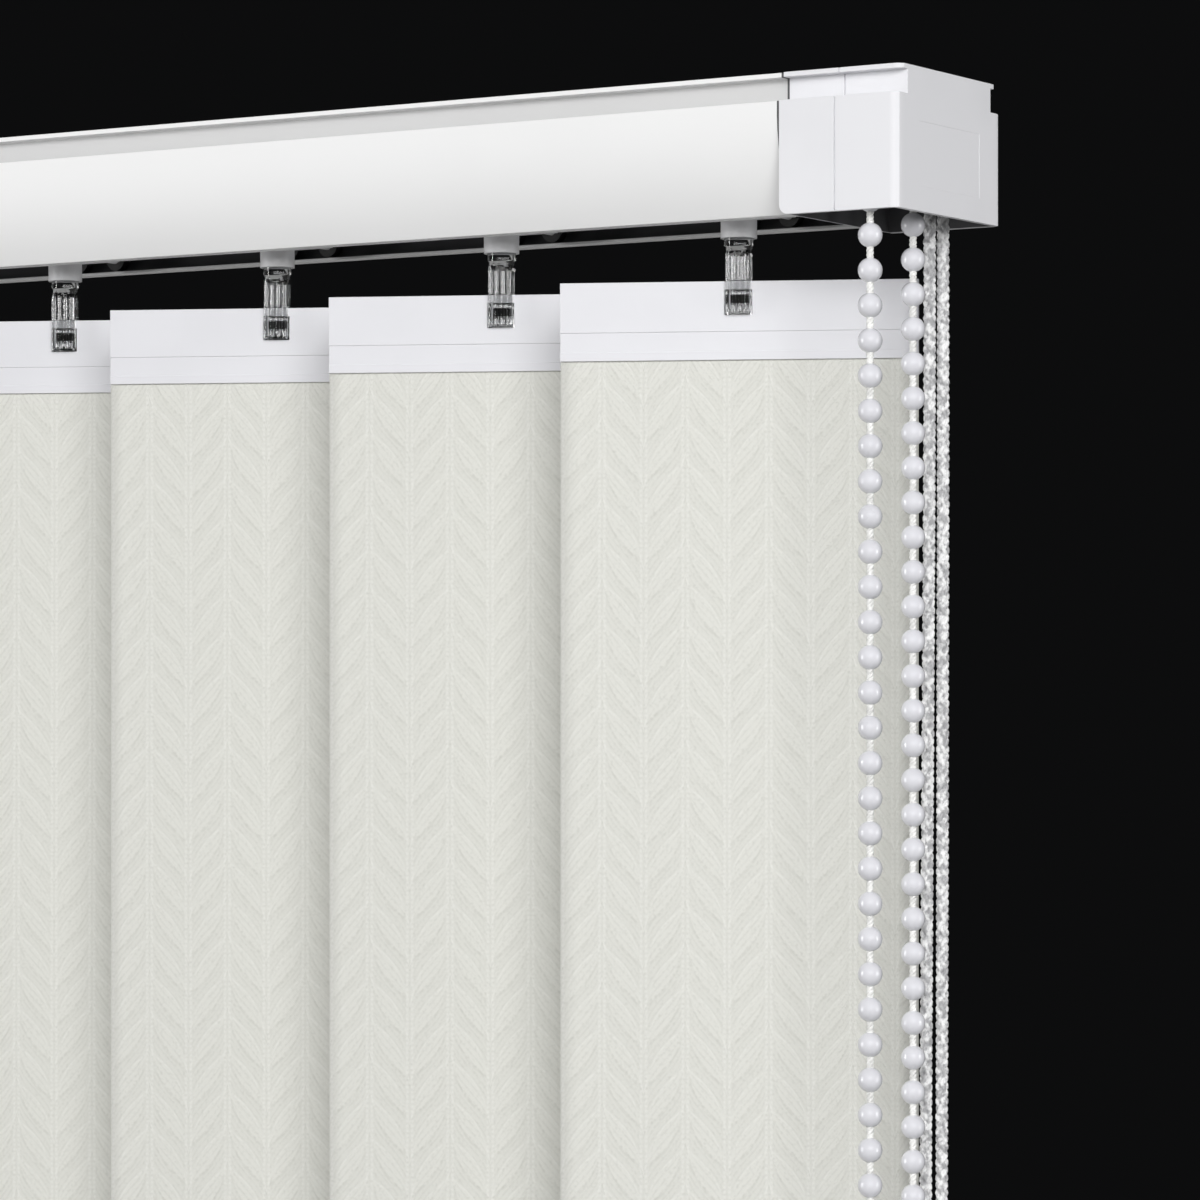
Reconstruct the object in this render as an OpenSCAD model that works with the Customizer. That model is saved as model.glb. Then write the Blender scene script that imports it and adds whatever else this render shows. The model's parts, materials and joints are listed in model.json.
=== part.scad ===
// Vertical blind: an extruded headrail with geared carriers, fabric vanes on clear hooks, a bead
// chain that tilts the vanes and a draw cord that gathers them.
// Millimetres. X runs along the headrail with the controls at +X, the front is -Y and Z is up.
// The origin is the middle of the headrail's top face. A "depth" is measured down from that face.

/* [Blind] */
// Number of vanes
vane_count = 6; // [2:1:6]
// Distance between vanes when the blind is drawn across
vane_pitch = 70; // [60:1:84]
// Distance between carriers when the blind is gathered
stack_pitch = 22; // [22:0.5:26]
// Turn of the vanes from the line of the headrail, in degrees
vane_turn = 24; // [14:1:90]
// Depth of the foot of the vanes
drop = 760; // [700:10:2400]

/* [Headrail] */
// Front to back of the headrail's body
rail_d = 51; // [50:0.5:56]
// Height of the headrail
rail_h = 33.7; // [33:0.1:36]
// Wall of the extrusion
rail_wall = 1.3; // [1:0.1:1.8]
// Thickness of the lips beside the slot
lip_t = 0.8; // [0.6:0.1:1.2]
// Width of the neck under the top flange
neck_w = 40.6; // [38:0.2:43]
// Height of the neck with the top flange
neck_h = 7; // [6:0.1:7.6]
// Width of the top flange
flange_w = 46.4; // [44:0.2:49]
// Thickness of the top flange
flange_t = 1.2; // [1:0.1:1.6]
// Radius of the bowed front and back
bow_r = 45; // [42:0.5:60]
// Width of the slot along the underside
slot_w = 27; // [24:0.5:28]
// Depth below the neck at which the bow starts
bow_start = 2; // [0:0.5:4]

/* [Ends] */
// Length of the control housing
housing_l = 15.1; // [14:0.1:20]
// Length of the outer end cover
cover_l = 17.3; // [16.5:0.1:22]
// Length of the idle end cap
idle_l = 14; // [10:0.5:20]
// How far the end pieces stand proud of the headrail
end_lip = 0.8; // [0.5:0.1:1.5]
// Wall of the end pieces
end_wall = 1.5; // [1.2:0.1:1.8]
// Radius of the upright corners of the end pieces
corner_r = 2.4; // [1:0.1:3]
// Free length of headrail between the idle end and the first vane's edge
idle_reach = 11.5; // [8:0.5:30]

/* [Bead chain] */
// Diameter of a bead
bead_d = 6; // [5:0.1:6.4]
// Distance between beads
bead_pitch = 8.4; // [8:0.1:8.6]
// Diameter of the thread through the beads
thread_d = 1.9; // [1.4:0.1:2.2]
// Pockets around the chain wheel
wheel_pockets = 8; // [7:1:8]
// Beads' shift along the chain, as a share of their pitch
bead_phase = 0.256; // [0:0.01:1]
// Half pitches of chain in each straight strand
strand_steps = 132; // [40:1:240]
// Distance of the chain from the outer end
chain_inset = 10; // [9.5:0.1:11]
// Depth of the tilt rod and the chain wheel
rod_depth = 21.25; // [20.8:0.05:21.8]

/* [Draw cord] */
// Diameter of the draw cord
cord_d = 3.1; // [2:0.1:3.4]
// Depth of the cord along the headrail
cord_depth = 14; // [13.6:0.1:14.2]
// Distance of the hanging cord from the outer end
cord_inset = 11; // [10:0.1:12]
// Place of the front strand, back from the headrail's middle
front_strand_y = 10.2; // [9.6:0.1:10.6]
// Place of the rear strand, back from the headrail's middle
rear_strand_y = 17.1; // [16.6:0.1:17.6]
// Radius of the cord's bend on a pulley
pulley_r = 6.3; // [6:0.1:6.4]
// Width of a pulley
pulley_w = 5.2; // [4.8:0.1:5.6]
// Radius of the pulleys' pins
pin_r = 1.5; // [1.2:0.1:2]

/* [Carrier and gear] */
// Teeth on the hook's gear
gear_teeth = 15; // [13:1:17]
// Thickness of the gear
gear_t = 2.6; // [2:0.1:3]
// Radius of the worm without its thread
worm_core_r = 3.1; // [2.9:0.1:3.3]
// Height of the worm's thread
thread_h = 1.3; // [1:0.1:1.4]
// Radius of the tilt rod's corners
rod_r = 2.3; // [2:0.1:2.4]
// Radius of the hook's stem
stem_r = 3.6; // [3.2:0.1:3.8]
// Radius of the neck that the stem turns in
collar_r = 4.5; // [4.4:0.1:5]
// Depth of the neck's lower end
collar_depth = 36.5; // [35.5:0.1:38]
// Front to back of a carrier's frame
carrier_w = 20.8; // [19:0.2:22]
// Radius of a carrier's wheels
wheel_r = 3; // [2.6:0.1:3.1]
// Width of a carrier's wheels
wheel_w = 2.6; // [2:0.1:2.8]
// Width of a spacer strip
strip_w = 4; // [3:0.1:4.2]
// Thickness of a spacer strip
strip_t = 0.4; // [0.3:0.05:0.5]

/* [Hook and vane] */
// Width of a vane
vane_w = 89; // [80:1:100]
// Thickness of the fabric
fabric_t = 0.5; // [0.4:0.05:0.5]
// Depth of the hanger's top edge
hanger_depth = 47.1; // [46:0.1:50]
// Thickness of the hanger's plate
hanger_t = 2.4; // [2:0.1:2.6]
// Height of the hanger's plate
plate_h = 12.4; // [11:0.1:14]
// Height of the hanger's jaw
jaw_h = 7; // [6:0.1:9]
// Width of the hook's fork
fork_w = 6.2; // [5:0.1:6.6]
// Thickness of each finger of the fork
finger_t = 1.5; // [1.2:0.1:1.7]
// Height of the window in the hanger
window_h = 6.2; // [5:0.1:7]
// Height of the pocket at the vane's foot
hem_h = 34; // [32:1:50]
// Height of the weight in the pocket
weight_h = 28; // [20:1:30]
// Thickness of the weight in the pocket
weight_t = 1.2; // [0.8:0.1:1.4]

/* [Hidden] */
$fn = 64;

// Running gap between pieces that move past each other
gap = 0.3;
// Gap between a shaft and its bore
shaft_gap = 0.1;
// Gap between pieces that seat in each other
seat_gap = 0.15;
// Overlap of a cut past the face that it opens
cut = 1;

// Places along the headrail
swing_gap = 1.5;
control_reach = vane_w / 2 + swing_gap + bead_d / 2 + chain_inset;
x_right = ((vane_count - 1) * vane_pitch + control_reach + vane_w / 2 + idle_reach) / 2;
x_left = -x_right;
rail_x0 = x_left + idle_l;
rail_x1 = x_right - cover_l - housing_l;
function hook_x(i) = x_right - control_reach - (i - 1) * vane_pitch;

// End pieces
end_d = rail_d + 2 * end_lip;
end_h = rail_h + end_lip;
web_t = 2;
plug_l = 12;
seam = 0.4;
panel_sink = 0.35;
panel_margin_y = 11;
panel_margin_z = 6;
boss_r = 4.4;
boss_l = 2.5;

// Chain wheel and chain
chain_x = x_right - chain_inset;
chain_r = wheel_pockets * bead_pitch / (2 * PI);
bead_gap = 0.3;
rod_y = chain_r - (end_d / 2 - end_wall - bead_gap - bead_d / 2);
strand_l = strand_steps * bead_pitch / 2;
chain_l = 2 * strand_l + 2 * PI * chain_r;
bead_count = round(chain_l / bead_pitch);
wheel_l = 9;
pocket_gap = 0.12;

// Worm and gear: one turn of the worm moves the gear by one tooth
mesh_gap = 0.3;
gear_r = -rod_y - worm_core_r - mesh_gap;
gear_root_r = -rod_y - worm_core_r - thread_h - mesh_gap;
tooth_pitch = PI * (gear_r + gear_root_r) / gear_teeth;
thread_share = 0.25;
tooth_gap = 0.38;
tooth_slot = tooth_pitch * thread_share + 2 * tooth_gap;
worm_turns = 2.5;
worm_slices = 25;

// Half the headrail's inner width at a depth in its bowed body
function inner_half(depth) =
    sqrt(pow(bow_r - rail_wall, 2) - pow(depth - neck_h - bow_start, 2)) - (bow_r - rail_d / 2);

// Carrier
stack_gap = 1.4;
carrier_l = stack_pitch - stack_gap;
carrier_wall = 2.2;
floor_t = 3.6;
lip_gap = 0.2;
axle_depth = rail_h - lip_t - wheel_r - lip_gap;
axle_cover = 2.4;
floor_depth = axle_depth - axle_cover;
roof_t = 1.5;
cord_clear = 0.55;
roof_depth = cord_depth + cord_d / 2 + cord_clear;
journal_wall = 1.5;
worm_boss_r = worm_core_r + journal_wall;
wheel_gap = 0.5;
wheel_y = inner_half(rail_h - lip_t) - wheel_gap - wheel_w;
wheel_x = 6.2;
wheel_axle_r = 1.2;
tread_t = 0.7;
dish_t = 0.6;
guide_l = 8;
guide_wall = 1;
strip_levels = 5;
strip_clear = 0.55;
strip_step = strip_t + strip_clear;
strip_y = -2;
block_wall = 1;
block_h = strip_levels * strip_step + block_wall;
pivot_r = 2;

// Hook and hanger
flare_l = 1.5;
taper_l = 1.4;
shoulder_w = 1.1;
fork_play = 0.4;
fork_gap = hanger_t + fork_play;
fork_t = fork_gap + 2 * finger_t;
fork_round_r = fork_w * 0.63;
bridge_h = 2.1;
window_depth = hanger_depth + bridge_h;
window_play = 0.35;
window_w = fork_w + 2 * window_play;
barb_h = 3.4;
barb_lip = 1;
barb_w = fork_w - 1.2;
rib_r = 0.6;
rib_count = 4;
rib_pitch = fork_w / rib_count;
rib_end = 1;
fork_foot = window_depth + window_h - lip_gap;
jaw_step = 0.3;
jaw_t = hanger_t - 2 * jaw_step;
jaw_lip_step = 0.1;
jaw_lip_t = hanger_t - 2 * jaw_lip_step;
jaw_lip_h = 2.1;
jaw_grip = 5.5;
grip_gap = 0.05;
hanger_foot = hanger_depth + plate_h + jaw_h;

// Foot of a vane
pocket_gap_t = 0.1;
pocket_t = weight_t + 2 * pocket_gap_t;
weight_inset = 2;
weight_w = vane_w - 2 * weight_inset;
weight_lift = 0.2;

// Pulleys and their pins
pulley_rim = 1.5;
groove_r = cord_d / 2 + gap;
pulley_depth = cord_depth + pulley_r;
cord_x = x_right - cord_inset;
pulley_x = cord_x - pulley_r;
idle_pulley_y = rear_strand_y - pulley_r;
idle_pulley_x = rail_x0 + 11;
cheek_t = 2.1;
cheek_r = 4;
arm_t = 2;
pin_collar = 1;
cord_hole_gap = 1;

// Cord: sides of its tube, points on each bend and the hand-chosen hang of its two strands, each
// point a sideways and a backward drift from the pulley and a depth
cord_sides = 8;
bend_points = 6;
cord_lead = 2;
front_hang = [
    [0, 0, 34], [0, 0, 60], [-0.1, 0, 100], [-0.3, -0.1, 140], [-0.5, -0.2, 180], [-0.7, -0.3, 220],
    [-0.9, -0.3, 260], [-0.9, -0.2, 300], [-0.8, 0, 350], [-0.6, 0.3, 400], [-0.2, 0.8, 460], [0.2, 1.3, 520],
    [0.5, 1.7, 580], [0.5, 1.8, 640]
];
rear_hang = [
    [0, 0, 34], [0, 0, 60], [0, 0, 100], [-0.1, 0, 140], [-0.2, 0.1, 180], [-0.3, 0.1, 220],
    [-0.4, 0.1, 260], [-0.4, 0, 300], [-0.3, -0.2, 350], [-0.1, -0.5, 400], [0.1, -0.9, 460], [0.3, -1.3, 520],
    [0.5, -1.7, 580], [0.5, -1.8, 640]
];
cord_foot = front_hang[len(front_hang) - 1];
tassel_r = 4.6;
tassel_neck_r = 3.6;
tassel_l = 58;
tassel_taper = 16;

per_vane = ["carrier", "worm", "hook", "hanger", "vane", "foot_weight"];

// Sweeps a flat outline drawn in the YZ plane along X
module along_x(x0, x1) {
    translate([x0, 0, 0])
        rotate([90, 0, 90])
            linear_extrude(x1 - x0)
                children();
}

// Places a vane's own pieces, drawn as if the vane lay along the headrail
module on_hook(i) {
    translate([hook_x(i), 0, 0])
        rotate([0, 0, vane_turn])
            children();
}

// A rectangle given by its side, its top depth and its bottom depth
module band(y0, y1, top, bottom) {
    translate([y0, -bottom])
        square([y1 - y0, bottom - top]);
}

// A shaft or bore along X
module rod_x(r, x0, x1) {
    translate([x0, 0, 0])
        rotate([0, 90, 0])
            cylinder(r = r, h = x1 - x0);
}

// A shaft or bore along Y
module rod_y_axis(r, y0, y1) {
    translate([0, y1, 0])
        rotate([90, 0, 0])
            cylinder(r = r, h = y1 - y0);
}

// The headrail's bowed body, drawn in by one inset at its top and sides and another at its foot
module bowed_body(inset, foot) {
    intersection() {
        band(-rail_d / 2 + inset, rail_d / 2 - inset, neck_h + inset, rail_h - foot);
        intersection_for (face = [-1, 1])
            translate([face * (bow_r - rail_d / 2), -neck_h - bow_start])
                circle(bow_r - inset, $fn = 180);
    }
}

module headrail() {
    color("whitesmoke")
        along_x(rail_x0, rail_x1)
            difference() {
                union() {
                    band(-flange_w / 2, flange_w / 2, 0, flange_t);
                    band(-neck_w / 2, neck_w / 2, 0, neck_h + rail_wall);
                    bowed_body(0, 0);
                }
                bowed_body(rail_wall, lip_t);
                band(rail_wall - neck_w / 2, neck_w / 2 - rail_wall, flange_t, neck_h + 2 * rail_wall);
                band(-slot_w / 2, slot_w / 2, rail_h - 2 * lip_t, rail_h + cut);
            }
}

// The end pieces' stepped outline: flange, neck and body
module end_outline(inset) {
    band(inset - flange_w / 2 - end_lip, flange_w / 2 + end_lip - inset, 0, flange_t);
    band(inset - neck_w / 2 - end_lip, neck_w / 2 + end_lip - inset, 0, neck_h + end_wall);
    band(inset - end_d / 2, end_d / 2 - inset, neck_h, end_h);
}

// The hollow inside an end piece, open at the underside
module end_hollow() {
    band(end_wall - neck_w / 2 - end_lip, neck_w / 2 + end_lip - end_wall, flange_t, neck_h + 2 * end_wall);
    band(end_wall - end_d / 2, end_d / 2 - end_wall, neck_h + end_wall, end_h + cut);
}

// What is cut away to round an upright outer corner at the place x, y, towards the outside
module corner_cut(x, y, out_x, out_y, top, bottom) {
    translate([x, y, -bottom])
        scale([out_x, out_y, 1])
            linear_extrude(bottom - top)
                difference() {
                    translate([-corner_r, -corner_r])
                        square(corner_r + cut);
                    translate([-corner_r, -corner_r])
                        circle(corner_r);
                }
}

// Rounds the upright corners of the three steps at an end piece's outer end
module round_end(x, out_x) {
    for (side = [-1, 1]) {
        corner_cut(x, side * end_d / 2, out_x, side, neck_h, end_h + cut);
        corner_cut(x, side * (flange_w / 2 + end_lip), out_x, side, -cut, flange_t);
    }
}

// A tongue that fills the headrail's neck from its end
module neck_plug(x0, x1) {
    tongue_w = neck_w - 2 * rail_wall - 2 * seat_gap;
    along_x(x0, x1)
        difference() {
            band(-tongue_w / 2, tongue_w / 2, flange_t + seat_gap, neck_h + rail_wall);
            band(end_wall - tongue_w / 2, tongue_w / 2 - end_wall, flange_t + end_wall, neck_h + 2 * rail_wall);
        }
}

// The plate that closes the headrail's end, and the openings for the rod and the cord's two runs
module end_web(x0) {
    along_x(x0, x0 + web_t)
        difference() {
            end_outline(0);
            translate([rod_y, -rod_depth])
                circle(rod_r + shaft_gap);
            for (y = [front_strand_y, rear_strand_y])
                translate([y, -cord_depth])
                    circle(cord_d / 2 + cord_hole_gap);
        }
}

module control_housing() {
    x0 = rail_x1;
    x1 = x_right - cover_l;
    cheeks = [front_strand_y - pulley_w / 2 - gap - cheek_t, rear_strand_y + pulley_w / 2 + gap];
    color("white")
        difference() {
            union() {
                difference() {
                    along_x(x0, x1) end_outline(0);
                    along_x(x0, x1 + cut) end_hollow();
                }
                end_web(x0);
                neck_plug(x0 - plug_l, x0);
                for (y = cheeks)
                    translate([0, y, 0]) {
                        translate([x0 + web_t, 0, -pulley_depth - cheek_r])
                            cube([pulley_x - x0 - web_t, cheek_t, 2 * cheek_r]);
                        translate([pulley_x, 0, -pulley_depth])
                            rod_y_axis(cheek_r, 0, cheek_t);
                    }
            }
            translate([pulley_x, 0, -pulley_depth])
                rod_y_axis(pin_r, cheeks[0] - cut, cheeks[1] + cheek_t + cut);
            translate([x0, 0, -end_h])
                rotate([90, 0, 0])
                    linear_extrude(end_d + 2 * cut, center = true)
                        difference() {
                            translate([-cut, -cut])
                                square(corner_r + cut);
                            translate([corner_r, corner_r])
                                circle(corner_r);
                        }
        }
}

module end_cover() {
    x0 = x_right - cover_l;
    inner_x = x_right - end_wall;
    color("white") {
        difference() {
            union() {
                along_x(x0, x0 + seam) end_outline(seam);
                along_x(x0 + seam, x_right) end_outline(0);
            }
            along_x(x0 - cut, inner_x) end_hollow();
            round_end(x_right, 1);
            translate([x_right - panel_sink, panel_margin_y - end_d / 2, panel_margin_z - end_h])
                cube([panel_sink + cut, end_d - 2 * panel_margin_y, end_h - neck_h - 2 * panel_margin_z]);
        }
        translate([0, rod_y, -rod_depth])
            difference() {
                rod_x(boss_r, inner_x - boss_l, inner_x);
                rod_x(rod_r + shaft_gap, inner_x - boss_l - cut, inner_x);
            }
    }
}

module idle_end_cap() {
    outer_x = x_left + end_wall;
    bracket_l = idle_pulley_x - rail_x0;
    arms = [cord_depth - pulley_w / 2 - gap - arm_t, cord_depth + pulley_w / 2 + gap];
    color("white")
        difference() {
            union() {
                difference() {
                    along_x(x_left, rail_x0) end_outline(0);
                    along_x(outer_x, rail_x0 - web_t) end_hollow();
                    round_end(x_left, -1);
                }
                neck_plug(rail_x0, rail_x0 + plug_l);
                translate([0, rod_y, -rod_depth])
                    rod_x(boss_r, rail_x0, rail_x0 + boss_l);
                for (depth = arms)
                    translate([rail_x0, idle_pulley_y, -depth - arm_t]) {
                        translate([0, -cheek_r, 0])
                            cube([bracket_l, 2 * cheek_r, arm_t]);
                        translate([bracket_l, 0, 0])
                            cylinder(r = cheek_r, h = arm_t);
                    }
            }
            translate([0, rod_y, -rod_depth])
                rod_x(rod_r + shaft_gap, rail_x0 - web_t - cut, rail_x0 + boss_l + cut);
            translate([idle_pulley_x, idle_pulley_y, -arms[1] - arm_t - cut])
                cylinder(r = pin_r, h = arms[1] - arms[0] + arm_t + 2 * cut);
        }
}

module tilt_rod() {
    color("silver")
        translate([0, rod_y, -rod_depth])
            rotate([0, 90, 0])
                translate([0, 0, rail_x0 - web_t])
                    cylinder(r = rod_r, h = x_right - end_wall - gap - rail_x0 + web_t, $fn = 6);
}

// A bead's place on the wheel, as a turn from the front of its axis over the top
function pocket_turn(k) = (k - bead_phase) * 360 / wheel_pockets;

module chain_wheel() {
    hub_l = 2;
    color("gainsboro")
        translate([chain_x, rod_y, -rod_depth])
            difference() {
                union() {
                    rod_x(chain_r, -wheel_l / 2, wheel_l / 2);
                    rod_x(boss_r, -wheel_l / 2 - hub_l, -wheel_l / 2);
                }
                for (k = [1 : wheel_pockets])
                    rotate([-pocket_turn(k), 0, 0])
                        translate([0, -chain_r, 0])
                            sphere(bead_d / 2 + pocket_gap);
                rotate([0, 90, 0])
                    rotate_extrude()
                        translate([chain_r - thread_d / 2 - gap, -thread_d / 2 - gap])
                            square([thread_d + cut, thread_d + 2 * gap]);
                rotate([0, 90, 0])
                    cylinder(r = rod_r, h = 2 * wheel_l, center = true, $fn = 6);
            }
}

// A point of the chain's loop, s from the front of the wheel: down, round, up and over the wheel
function chain_point(s) =
    let (bend = PI * chain_r)
    s < strand_l ? [0, -chain_r, -s]
    : s < strand_l + bend ? chain_bend((s - strand_l) / bend * 180, -strand_l)
    : s < 2 * strand_l + bend ? [0, chain_r, s - 2 * strand_l - bend]
    : chain_bend(180 + (s - 2 * strand_l - bend) / bend * 180, 0);
function chain_bend(turn, z) = [0, -chain_r * cos(turn), z - chain_r * sin(turn)];

module bead_chain() {
    color("ghostwhite")
        translate([chain_x, rod_y, -rod_depth]) {
            for (side = [-1, 1])
                translate([0, side * chain_r, -strand_l])
                    cylinder(d = thread_d, h = strand_l);
            for (z = [0, -strand_l])
                translate([0, 0, z])
                    rotate([90, 0, 90])
                        rotate([0, 0, z < 0 ? 180 : 0])
                            rotate_extrude(angle = 180)
                                translate([chain_r, 0])
                                    circle(d = thread_d);
            for (k = [0 : bead_count - 1])
                translate(chain_point((k + bead_phase) * bead_pitch))
                    sphere(d = bead_d);
        }
}

// A grooved pulley about Z, centred on its groove
module pulley() {
    rotate_extrude()
        difference() {
            translate([pin_r + shaft_gap, -pulley_w / 2])
                square([pulley_r + pulley_rim - pin_r - shaft_gap, pulley_w]);
            translate([pulley_r, 0])
                circle(groove_r);
            translate([pulley_r, -groove_r])
                square([pulley_rim + cut, 2 * groove_r]);
        }
}

// Places a guide pulley at a strand
module at_strand(y) {
    translate([pulley_x, y, -pulley_depth])
        rotate([90, 0, 0])
            children();
}

module front_pulley() {
    color("gainsboro") at_strand(front_strand_y) pulley();
}

module rear_pulley() {
    color("gainsboro") at_strand(rear_strand_y) pulley();
}

module pulley_pin() {
    between = (rear_strand_y - front_strand_y - pulley_w) / 2 - shaft_gap;
    color("silver")
        translate([pulley_x, 0, -pulley_depth]) {
            rod_y_axis(pin_r, front_strand_y - pulley_w / 2 - gap - cheek_t,
                       rear_strand_y + pulley_w / 2 + gap + cheek_t);
            translate([0, (front_strand_y + rear_strand_y) / 2, 0])
                rod_y_axis(pin_r + pin_collar, -between, between);
        }
}

module idle_pulley() {
    color("gainsboro")
        translate([idle_pulley_x, idle_pulley_y, -cord_depth])
            pulley();
}

module idle_pulley_pin() {
    reach = pulley_w / 2 + gap + arm_t;
    color("silver")
        translate([idle_pulley_x, idle_pulley_y, -cord_depth - reach])
            cylinder(r = pin_r, h = 2 * reach);
}

function unit(v) = v / norm(v);
function heading(path, k) = unit(path[min(k + 1, len(path) - 1)] - path[max(k - 1, 0)]);

// One ring of a cord's tube, across its heading; the reference line is never along the cord
function ring(centre, forward) =
    let (across = unit(cross(forward, [0, 0.6, 0.8])), beside = cross(forward, across))
    [for (k = [0 : cord_sides - 1])
        centre + cord_d / 2 * (cos(k * 360 / cord_sides) * across + sin(k * 360 / cord_sides) * beside)];

module cord_tube(path) {
    last = len(path) - 1;
    points = [for (k = [0 : last]) each ring(path[k], heading(path, k))];
    sides = [
        for (k = [0 : last - 1], j = [0 : cord_sides - 1])
            let (next = (j + 1) % cord_sides, a = k * cord_sides, b = a + cord_sides)
            each [[a + j, b + j, b + next], [a + j, b + next, a + next]]
    ];
    start = [[for (j = [0 : cord_sides - 1]) j]];
    finish = [[for (j = [cord_sides - 1 : -1 : 0]) last * cord_sides + j]];
    polyhedron(points, concat(sides, start, finish));
}

// A quarter turn over a guide pulley, from the hanging strand to the run along the headrail
function over_pulley(y) = concat(
    [[cord_x, y, -pulley_depth - cord_lead]],
    [for (k = [0 : bend_points])
        let (turn = k * 90 / bend_points)
        [pulley_x + pulley_r * cos(turn), y, pulley_r * sin(turn) - pulley_depth]]
);
function reversed(list) = [for (k = [len(list) - 1 : -1 : 0]) list[k]];

module rail_cord() {
    around_idle = [
        for (k = [0 : 2 * bend_points])
            let (turn = 270 - k * 90 / bend_points)
            [idle_pulley_x + pulley_r * cos(turn), idle_pulley_y + pulley_r * sin(turn), -cord_depth]
    ];
    color("lightgray")
        cord_tube(concat(over_pulley(front_strand_y), around_idle, reversed(over_pulley(rear_strand_y))));
}

// A hanging strand, from its pulley down through its hand-chosen points
module strand(y, hang) {
    start = [cord_x, y, -pulley_depth - cord_lead];
    cord_tube(concat([start], [for (p = hang) [cord_x + p[0], y + p[1], -p[2]]]));
}

module front_strand() {
    color("lightgray") strand(front_strand_y, front_hang);
}

module rear_strand() {
    color("lightgray") strand(rear_strand_y, rear_hang);
}

module cord_weight() {
    color("white")
        translate([cord_x + cord_foot[0], (front_strand_y + rear_strand_y) / 2, -cord_foot[2] - tassel_l])
            rotate_extrude() {
                polygon([[0, tassel_r], [tassel_r, tassel_r], [tassel_r, tassel_l - tassel_taper],
                         [tassel_neck_r, tassel_l], [0, tassel_l]]);
                intersection() {
                    translate([0, tassel_r])
                        circle(tassel_r);
                    square([tassel_r, tassel_r]);
                }
            }
}

// Four wheels on stub axles that run on the headrail's lips
module carrier_wheels() {
    for (x = [-wheel_x, wheel_x], side = [-1, 1])
        translate([x, 0, -axle_depth])
            scale([1, side, 1]) {
                rod_y_axis(wheel_axle_r, carrier_w / 2 - cut, wheel_y + wheel_w);
                difference() {
                    rod_y_axis(wheel_r, wheel_y, wheel_y + wheel_w);
                    rod_y_axis(wheel_r - tread_t, wheel_y + wheel_w - dish_t, wheel_y + wheel_w + cut);
                }
            }
}

// One end of a carrier's frame, with the journal of the worm
module carrier_end(x0) {
    along_x(x0, x0 + carrier_wall)
        difference() {
            union() {
                translate([rod_y, -rod_depth])
                    circle(worm_boss_r);
                band(rod_y, carrier_w / 2, roof_depth, rod_depth + worm_boss_r);
                band(-carrier_w / 2, carrier_w / 2, rod_depth, floor_depth + cut);
            }
            translate([rod_y, -rod_depth])
                circle(worm_core_r + shaft_gap);
        }
}

// The carrier of one vane: a frame for its worm and gear, wheels, and the neck for the hook's stem
module carrier(i) {
    half = carrier_l / 2;
    block_y0 = strip_y - strip_w / 2 - gap - block_wall;
    block_y1 = strip_y + strip_w / 2 + gap + block_wall;
    guide_r = cord_d / 2 + gap;
    roof_y1 = rear_strand_y + guide_r + guide_wall;
    color("white")
        translate([hook_x(i), 0, 0])
            difference() {
                union() {
                    along_x(-half, half) {
                        band(-carrier_w / 2, carrier_w / 2, floor_depth, floor_depth + floor_t);
                        band(block_y0, carrier_w / 2, roof_depth, roof_depth + roof_t);
                        band(block_y0, block_y1, roof_depth - block_h, roof_depth + roof_t);
                    }
                    along_x(-guide_l / 2, guide_l / 2) {
                        band(carrier_w / 2 - cut, roof_y1, roof_depth, roof_depth + roof_t);
                        band(roof_y1 - 2 * (guide_r + guide_wall), roof_y1, cord_depth, roof_depth + roof_t);
                        translate([rear_strand_y, -cord_depth])
                            circle(guide_r + guide_wall);
                    }
                    carrier_end(-half);
                    carrier_end(half - carrier_wall);
                    translate([0, 0, -collar_depth])
                        cylinder(r = collar_r, h = collar_depth - floor_depth - cut);
                    carrier_wheels();
                }
                translate([0, 0, -collar_depth - cut])
                    cylinder(r = stem_r + shaft_gap, h = collar_depth - floor_depth + 2 * cut);
                translate([0, 0, -roof_depth - roof_t - cut])
                    cylinder(r = pivot_r + shaft_gap, h = roof_t + 2 * cut);
                along_x(-half - cut, half + cut) {
                    band(block_y0 + block_wall, block_y1 - block_wall, roof_depth - block_h + block_wall, roof_depth);
                    translate([rear_strand_y, -cord_depth])
                        circle(guide_r);
                }
            }
}

// The worm on the tilt rod, right-handed, with a thread at the middle of its length facing the gear
module worm(i) {
    thread_l = worm_turns * tooth_pitch;
    twist = -360 * worm_turns;
    lobe = thread_share * 360;
    steps = 6;
    color("gainsboro")
        translate([hook_x(i), rod_y, -rod_depth])
            rotate([0, 90, 0])
                difference() {
                    union() {
                        cylinder(r = worm_core_r, h = carrier_l - 2 * gap, center = true, $fn = 24);
                        translate([0, 0, -thread_l / 2])
                            rotate([0, 0, 90 + twist / 2])
                                linear_extrude(thread_l, twist = twist, slices = worm_slices, $fn = 10)
                                    polygon(concat([[0, 0]], [
                                        for (k = [0 : steps])
                                            let (turn = lobe * (k / steps - 0.5))
                                            (worm_core_r + thread_h) * [cos(turn), sin(turn)]
                                    ]));
                    }
                    cylinder(r = rod_r + seat_gap, h = carrier_l + cut, center = true, $fn = 6);
                }
}

// The gear on the hook's stem, with a slot that faces the worm
module stem_gear() {
    difference() {
        translate([0, 0, -rod_depth - gear_t / 2])
            cylinder(r = gear_r, h = gear_t);
        for (k = [0 : gear_teeth - 1])
            rotate([0, 0, -90 + k * 360 / gear_teeth])
                translate([gear_root_r, -tooth_slot / 2, -rod_depth - gear_t / 2 - cut])
                    cube([gear_r, tooth_slot, gear_t + 2 * cut]);
    }
}

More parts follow.
